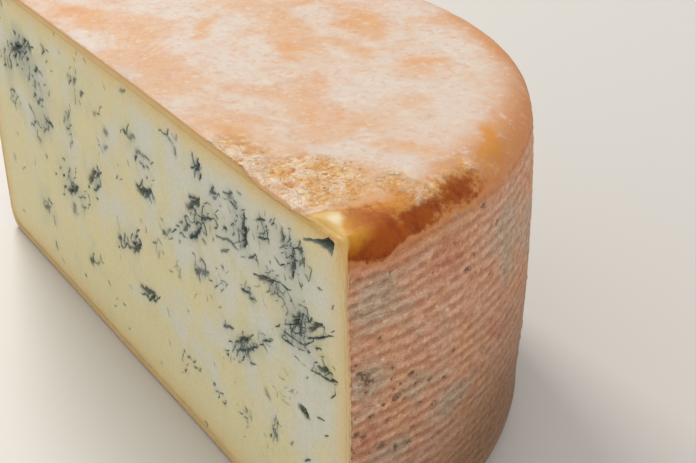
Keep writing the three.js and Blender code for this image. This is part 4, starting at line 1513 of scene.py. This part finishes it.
def rind_material(look, paste):
    """Rind: a ribbed terracotta side, an orange top under white bloom, and its cut edge."""
    shader = Shader("washed rind")
    noise, step, blend, coat = shader.noise, shader.step, shader.blend, shader.coat
    arc, relief, pocked, crusty, fleck, crag, lip, depth, opened, bare = shader.attributes(
        "arc relief pocked crusty fleck crag lip depth opened bare")
    x, y, z = shader.split(shader.here)
    unrolled = shader.combine(arc, 0.0, z * 1.9)
    mottle = noise(6.0, 4.0, 0.6)

    def stretched(along, up):
        return shader.vector("MULTIPLY", unrolled, (along, 1.0, up))

    def patch(name, size, spread=0.9, low=0.0, high=0.4):
        """A painted patch with a ragged border."""
        ragged = (noise(size, 4.0, 0.6, where=unrolled) - 0.5) * spread
        return step(shader.attribute(name) + ragged, low, high)

    # The side.
    tone = step(noise(30.0, 3.0, where=unrolled), 0.36, 0.64)
    ash = step(noise(15.0, 4.0, 0.6, where=unrolled), 0.5, 0.72)
    rust = step(noise(10.0, 4.0, 0.6, 0.4, unrolled), 0.54, 0.72)
    greyed = patch("grey", 6.0, 1.2, -0.1, 0.6) * step(arc, 60.0, 150.0, 0.8, 0.5)
    furrow = step(noise(2.4, 4.0, 0.7, where=stretched(0.6, 1.3)), 0.46, 0.64) * (greyed * 0.75)
    low = shader.math("MAXIMUM", step(z + rust * 8.0, 8.0, 46.0, 0.5, 0.0),
                      patch("umber", 12.0, 0.6, -0.1, 0.9) * 0.8)
    side = coat(
        blend(tone, look.terracotta, look.rose), (ash * 0.5, look.ash), (rust * 0.4, "rust"),
        (patch("pink", 6.0, 0.9, -0.1, 0.7) * 0.7, look.red), (greyed, look.ash), (furrow, "furrow"),
        (low, look.umber))
    # Painted shade and highlight from the relief: darker between the ribs, lighter on their tops, partly pale
    # bloom and partly painted highlight.
    side = blend(step(relief, 0.1, 0.85), blend(1.0, side, "painted valley shade", "MULTIPLY"), blend(0.12, side, "pale fleck and crest highlight"))
    # Painted shade: the side darker towards its base and further round from the near end.
    sunk = step(z + step(arc, 0.0, 90.0, 12.0, -18.0), -10.0, 92.0, 0.34, 0.96)
    weft = stretched(0.6, 1.6)
    thread = (step(noise(1.0, 3.0, 0.6, where=weft), 0.3, 0.7, 0.84, 1.1)
              * step(noise(0.75, 3.0, 0.7), 0.36, 0.64, 0.84, 1.1))
    pitted = pocked * step(noise(0.9, 3.0, 0.65), 0.36, 0.58, 0.2, 1.15)
    dirt = (step(noise(1.6, 4.0, 0.7, where=stretched(0.7, 1.2)), 0.5, 0.68)
            * step(noise(14.0, 3.0, 0.6, where=unrolled), 0.4, 0.66, 0.15, 0.6))
    side = coat(
        shader.shade(side, sunk, thread),
        (step(noise(3.4, 4.0, 0.65, where=unrolled), 0.6, 0.68) * 0.3, "scab"),
        (step(fleck * noise(0.9, 3.0, 0.6), 0.2, 0.55, 0.0, 0.6), "pale fleck and crest highlight"),
        # Dark pits and a darker ring round each: their own colour, with painted shade in the dents.
        (step(pitted, 0.02, 0.35, 0.0, 0.5), "pit rim"),
        (step(pitted, 0.16, 0.7, 0.0, 0.85), look.pit),
        (dirt, "dirt"))

    # The burnt patch, which runs over the rim.
    frayed = (noise(2.2, 4.0, 0.65) - 0.5) * 0.7
    scorch = step(patch("burnt", 7.0, 1.3, -0.6, 0.9) + frayed, 0.22, 0.95)
    smoulder = noise(5.0, 4.0, 0.62) + step(z, 118.0, 129.0, -0.08, 0.1)
    on_top = step(z, 125.0, 128.5)
    olive = (step(on_top * -4.0 + arc, 1.0, 12.0, 1.0, 0.0) * step(z, 120.0, 128.0, 0.0, 0.95)
             * step(smoulder, 0.36, 0.6, 0.4, 1.0))
    burnt = coat(
        look.burnt, (step(smoulder, 0.44, 0.64), "ember"), (step(smoulder, 0.5, 0.38, 0.0, 0.8), "char"),
        # A painted highlight: lighter gold along the top of the burnt patch, where it turns over the rim.
        (step(mottle * 8.0 + z, 130.0, 135.0, 0.0, 0.6), "burnt patch highlight"),
        (olive, blend(on_top, "olive side", "olive top")))
    burnt = blend(step(scorch, 0.15, 0.85), "burnt border", burnt)

    # The top.
    veil = step(noise(30.0, 4.0, 0.55), 0.4, 0.62)
    radius = shader.vector("LENGTH", shader.combine(x, y, 0.0))
    ring = (step(radius + mottle * 18.0, 138.0, 154.0)
            * step(arc, 110.0, 190.0, 1.0, step(veil, 0.0, 1.0, 1.0, 0.35)))
    top = coat(
        blend(veil, look.peach, look.bloom),
        (patch("bloom", 10.0, 1.1, -0.2, 0.5) * 0.85, look.bloom),
        (patch("orange", 10.0, 1.2, -0.2, 0.6) * 0.75, look.orange),
        # The ring is darker over the near part of the rim: rust-brown, partly a painted shadow.
        (ring * 0.85, blend(step(arc, 56.0, 96.0), "near rim rust and shadow", "far rim")),
        (step(noise(3.2, 4.0, 0.6), 0.5, 0.68) * 0.4, "top fleck"),
        (step(noise(2.6, 4.0, 0.6), 0.54, 0.68) * 0.35, "dust"))
    # The flaky golden crust near the corner: whitish where it stands highest, brown in its cracks and
    # creases, partly its own colour and partly painted shade, and with painted glints.
    white = crusty + noise(8.0, 4.0, 0.6) * 1.8 + step(y, 0.0, 12.0, 0.4, 0.0)
    crease = abs(noise(3.2, 4.0, 0.65, 0.6) - 0.5)
    golden = coat(
        blend(step(noise(7.0, 3.0, 0.6), 0.42, 0.62), "straw", "gold"),
        (step(crusty, 0.1, 0.35, 0.4, 0.0), "crack"),
        (step(noise(5.0, 3.0, 0.6), 0.6, 0.68, 0.0, 0.7), "rosy"),
        (step(white, 1.35, 1.75) * 0.85, "white crust"),
        (step(crease, 0.0, 0.035, 0.4, 0.0), "crease"),
        (step(noise(1.2, 4.0, 0.65), 0.54, 0.66, 0.0, 0.7), "glint"))
    # The amber patches over the rim are partly a painted highlight.
    top = coat(
        top, (patch("crust", 9.0, 0.9, 0.0, 0.5) * 0.92, golden),
        (step(opened, 0.0, 1.0, 0.0, 0.85), "opened"), (patch("amber", 8.0, 0.8, -0.1, 0.9), look.amber))

    # Together, with the burnt patch over both, then the bare corner with its painted cream highlight, and the
    # cut edge.
    edge = z + (mottle - 0.5) * 9.0
    rusty = step(edge, 115.0, 122.0) * step(edge, 124.0, 130.0, 1.0, 0.0) * 0.6
    # The hem: the skin's whitish edge along the lip, partly a painted highlight.
    hem = lip * step(noise(1.6, 3.0), 0.35, 0.6, 0.5, 1.0)
    colour = coat(
        side, (scorch, burnt), (step(edge, 118.0, 126.0), top), (rusty, "rust rim"), (scorch, burnt),
        (step(bare, 0.1, 0.8), "bare"), (patch("cream", 4.0, 0.4, -0.2, 1.0), "cream"),
        (step(hem, 0.5, 0.85, 0.0, 0.9), "hem"))
    cut = cut_colours(shader, depth, paste)
    corner = step(x, 127.0, 131.0) * step(z, 112.0, 122.0)
    skin = coat(cut, (step(z, 60.0, 122.0, 0.3, 0.55), "skin"), (corner, "corner skin"))
    # Painted shadow under the hanging lip, on the rind's band in the cut.
    under_lip_shadow = step(depth, 0.25, 0.6) * step(depth, 1.0, 3.0, 0.7, 0.0) * step(lip, 0.0, 0.6)
    cut = blend(under_lip_shadow, blend(step(depth, 0.5, 1.6), skin, cut), "under_lip_shadow")
    colour = blend(step(depth, 0.05, 0.35), colour, cut)
    bump = noise(0.7, 3.0, 0.6) + noise(1.0, where=weft) * 0.8
    bump = shader.math("MINIMUM", crease, 0.06) * (crag * 6.0) + bump
    crumbly = shader.math("MAXIMUM", crag, step(z, 119.0, 125.0, 1.0, 0.3))
    return shader.finish(
        colour, step(scorch, 0.0, 1.0, 0.66, 0.42), bump * crumbly, 0.0004, Subsurface_Weight=0.08,
        Subsurface_Scale=0.002, Subsurface_Radius=(1.0, 0.5, 0.25),
        Specular_IOR_Level=step(scorch, 0.0, 1.0, 0.3, 0.14))


def crumb_material(name, first, second, roughness):
    shader = Shader(name)
    grain = shader.noise(0.4)
    colour = shader.coat(shader.blend(shader.attribute("tone"), first, second),
                         (shader.step(grain, 0.4, 0.7, 0.0, 0.25), "crumb grain"))
    return shader.finish(colour, roughness, grain, 0.0001, Subsurface_Weight=0.15, Subsurface_Scale=0.0015)


# ---- operators ----


class CHEESE_OT_rind(bpy.types.Operator):
    """Make the rind: a closed shell with ribs, beads, crags and pits"""
    bl_idname = "cheese.make_rind"
    bl_label = "Make rind"

    def execute(self, context):
        look, paste = context.scene.rind_look, context.scene.paste_look
        piece = place(make_rind_mesh(look), "rind")
        grow(piece, rind_relief_tree(look), {"Material": rind_material(look, paste)})
        hold(piece)
        return {"FINISHED"}


class CHEESE_OT_paste(bpy.types.Operator):
    """Make the paste, with its veins, pockets and the hollow near the corner"""
    bl_idname = "cheese.make_paste"
    bl_label = "Make paste"

    def execute(self, context):
        look, rind = context.scene.paste_look, context.scene.rind_look
        piece = place(make_paste_mesh(look, rind), "paste")
        grow(piece, paste_grain_tree(look), {"Material": paste_material(look)})
        hold(piece)
        return {"FINISHED"}


class CHEESE_OT_crumbs(bpy.types.Operator):
    """Strew white crumbs and golden flakes over the crust near the corner"""
    bl_idname = "cheese.make_crumbs"
    bl_label = "Make crumbs"

    def execute(self, context):
        look = context.scene.crumb_look
        rind = bpy.data.objects["rind"]
        white = crumb_material("white crumb", look.white, "crumb shade", 0.75)
        golden = crumb_material("golden flake", look.golden, "flake light", 0.55)
        for name, where, material, share, largest, flatness, seed in (
                ("white_crumbs", "crumbs", white, 1.0, 0.75, 0.3, 21),
                ("golden_flakes", "golden", golden, 0.5, 0.7, 0.25, 22)):
            piece = place(rind.data.copy(), name)
            grow(piece, scatter_tree(name, where), {
                "Density": share * look.white_count, "Smallest": 0.15 * MM, "Largest": largest * MM,
                "Flatness": flatness, "Roughness": 0.3, "Seed": seed, "Material": material})
            hold(piece)
        return {"FINISHED"}


class CHEESE_OT_stage(bpy.types.Operator):
    """Make the floor, the lights and the camera"""
    bl_idname = "cheese.make_stage"
    bl_label = "Make stage"

    def execute(self, context):
        scene = context.scene
        look = scene.stage_look
        mesh = bpy.data.meshes.new("floor")
        corners = [(FLOOR_REACH * x, FLOOR_REACH * y, 0) for x, y in ((-1, -1), (1, -1), (1, 1), (-1, 1))]
        mesh.from_pydata(corners, [], [(0, 1, 2, 3)])
        floor = place(mesh, "floor")
        mesh.materials.append(Shader("pale floor").finish(look.floor, 0.5))
        world = bpy.data.worlds.new("studio")
        world.use_nodes = True
        background = world.node_tree.nodes["Background"]
        background.inputs["Color"].default_value = (*srgb(*SKY_COLOUR), 1)
        background.inputs["Strength"].default_value = look.sky
        scene.world = world
        for name, power, size, azimuth, elevation in LAMPS:
            light = bpy.data.lights.new(name, "AREA")
            light.energy, light.size, light.color = getattr(look, power), size, LAMP_COLOUR
            lamp = place(light, name)
            azimuth, elevation = math.radians(azimuth), math.radians(elevation)
            toward = Vector((math.cos(azimuth) * math.cos(elevation), math.sin(azimuth) * math.cos(elevation),
                             math.sin(elevation)))
            lamp.location = toward * LAMP_DISTANCE
            lamp.rotation_euler = toward.to_track_quat("Z", "Y").to_euler()
        data = bpy.data.cameras.new("camera")
        data.lens, data.sensor_width = LENS, SENSOR
        data.clip_start, data.clip_end = 0.01, 20.0
        scene.camera = place(data, "camera")
        scene.camera.location = Vector(CAMERA_PLACE) * MM
        scene.camera.rotation_euler = Vector(CAMERA_AHEAD).to_track_quat("-Z", "Y").to_euler()
        scene.view_settings.view_transform = "Standard"
        return {"FINISHED"}


class CHEESE_PT_panel(bpy.types.Panel):
    """Lists the cheese's parts and their settings"""
    bl_idname = "CHEESE_PT_panel"
    bl_label = "Cheese"
    bl_space_type = "VIEW_3D"
    bl_region_type = "UI"
    bl_category = "Cheese"

    def draw(self, context):
        for operator in OPERATORS:
            self.layout.operator(operator.bl_idname)
        for name in LOOKS:
            box = self.layout.box()
            look = getattr(context.scene, name)
            for key in look.bl_rna.properties.keys():
                if key not in ("rna_type", "name"):
                    box.prop(look, key)


OPERATORS = (CHEESE_OT_stage, CHEESE_OT_rind, CHEESE_OT_paste, CHEESE_OT_crumbs)
LOOKS = {"rind_look": RindLook, "paste_look": PasteLook, "crumb_look": CrumbLook, "stage_look": StageLook}
CLASSES = (*LOOKS.values(), *OPERATORS, CHEESE_PT_panel)


def register():
    for kind in CLASSES:
        bpy.utils.register_class(kind)
    for name, kind in LOOKS.items():
        setattr(bpy.types.Scene, name, PointerProperty(type=kind))


def unregister():
    for name in LOOKS:
        delattr(bpy.types.Scene, name)
    for kind in reversed(CLASSES):
        bpy.utils.unregister_class(kind)


def main():
    register()
    bpy.ops.cheese.make_stage()
    bpy.ops.cheese.make_rind()
    bpy.ops.cheese.make_paste()
    bpy.ops.cheese.make_crumbs()


if __name__ == "__main__":
    main()
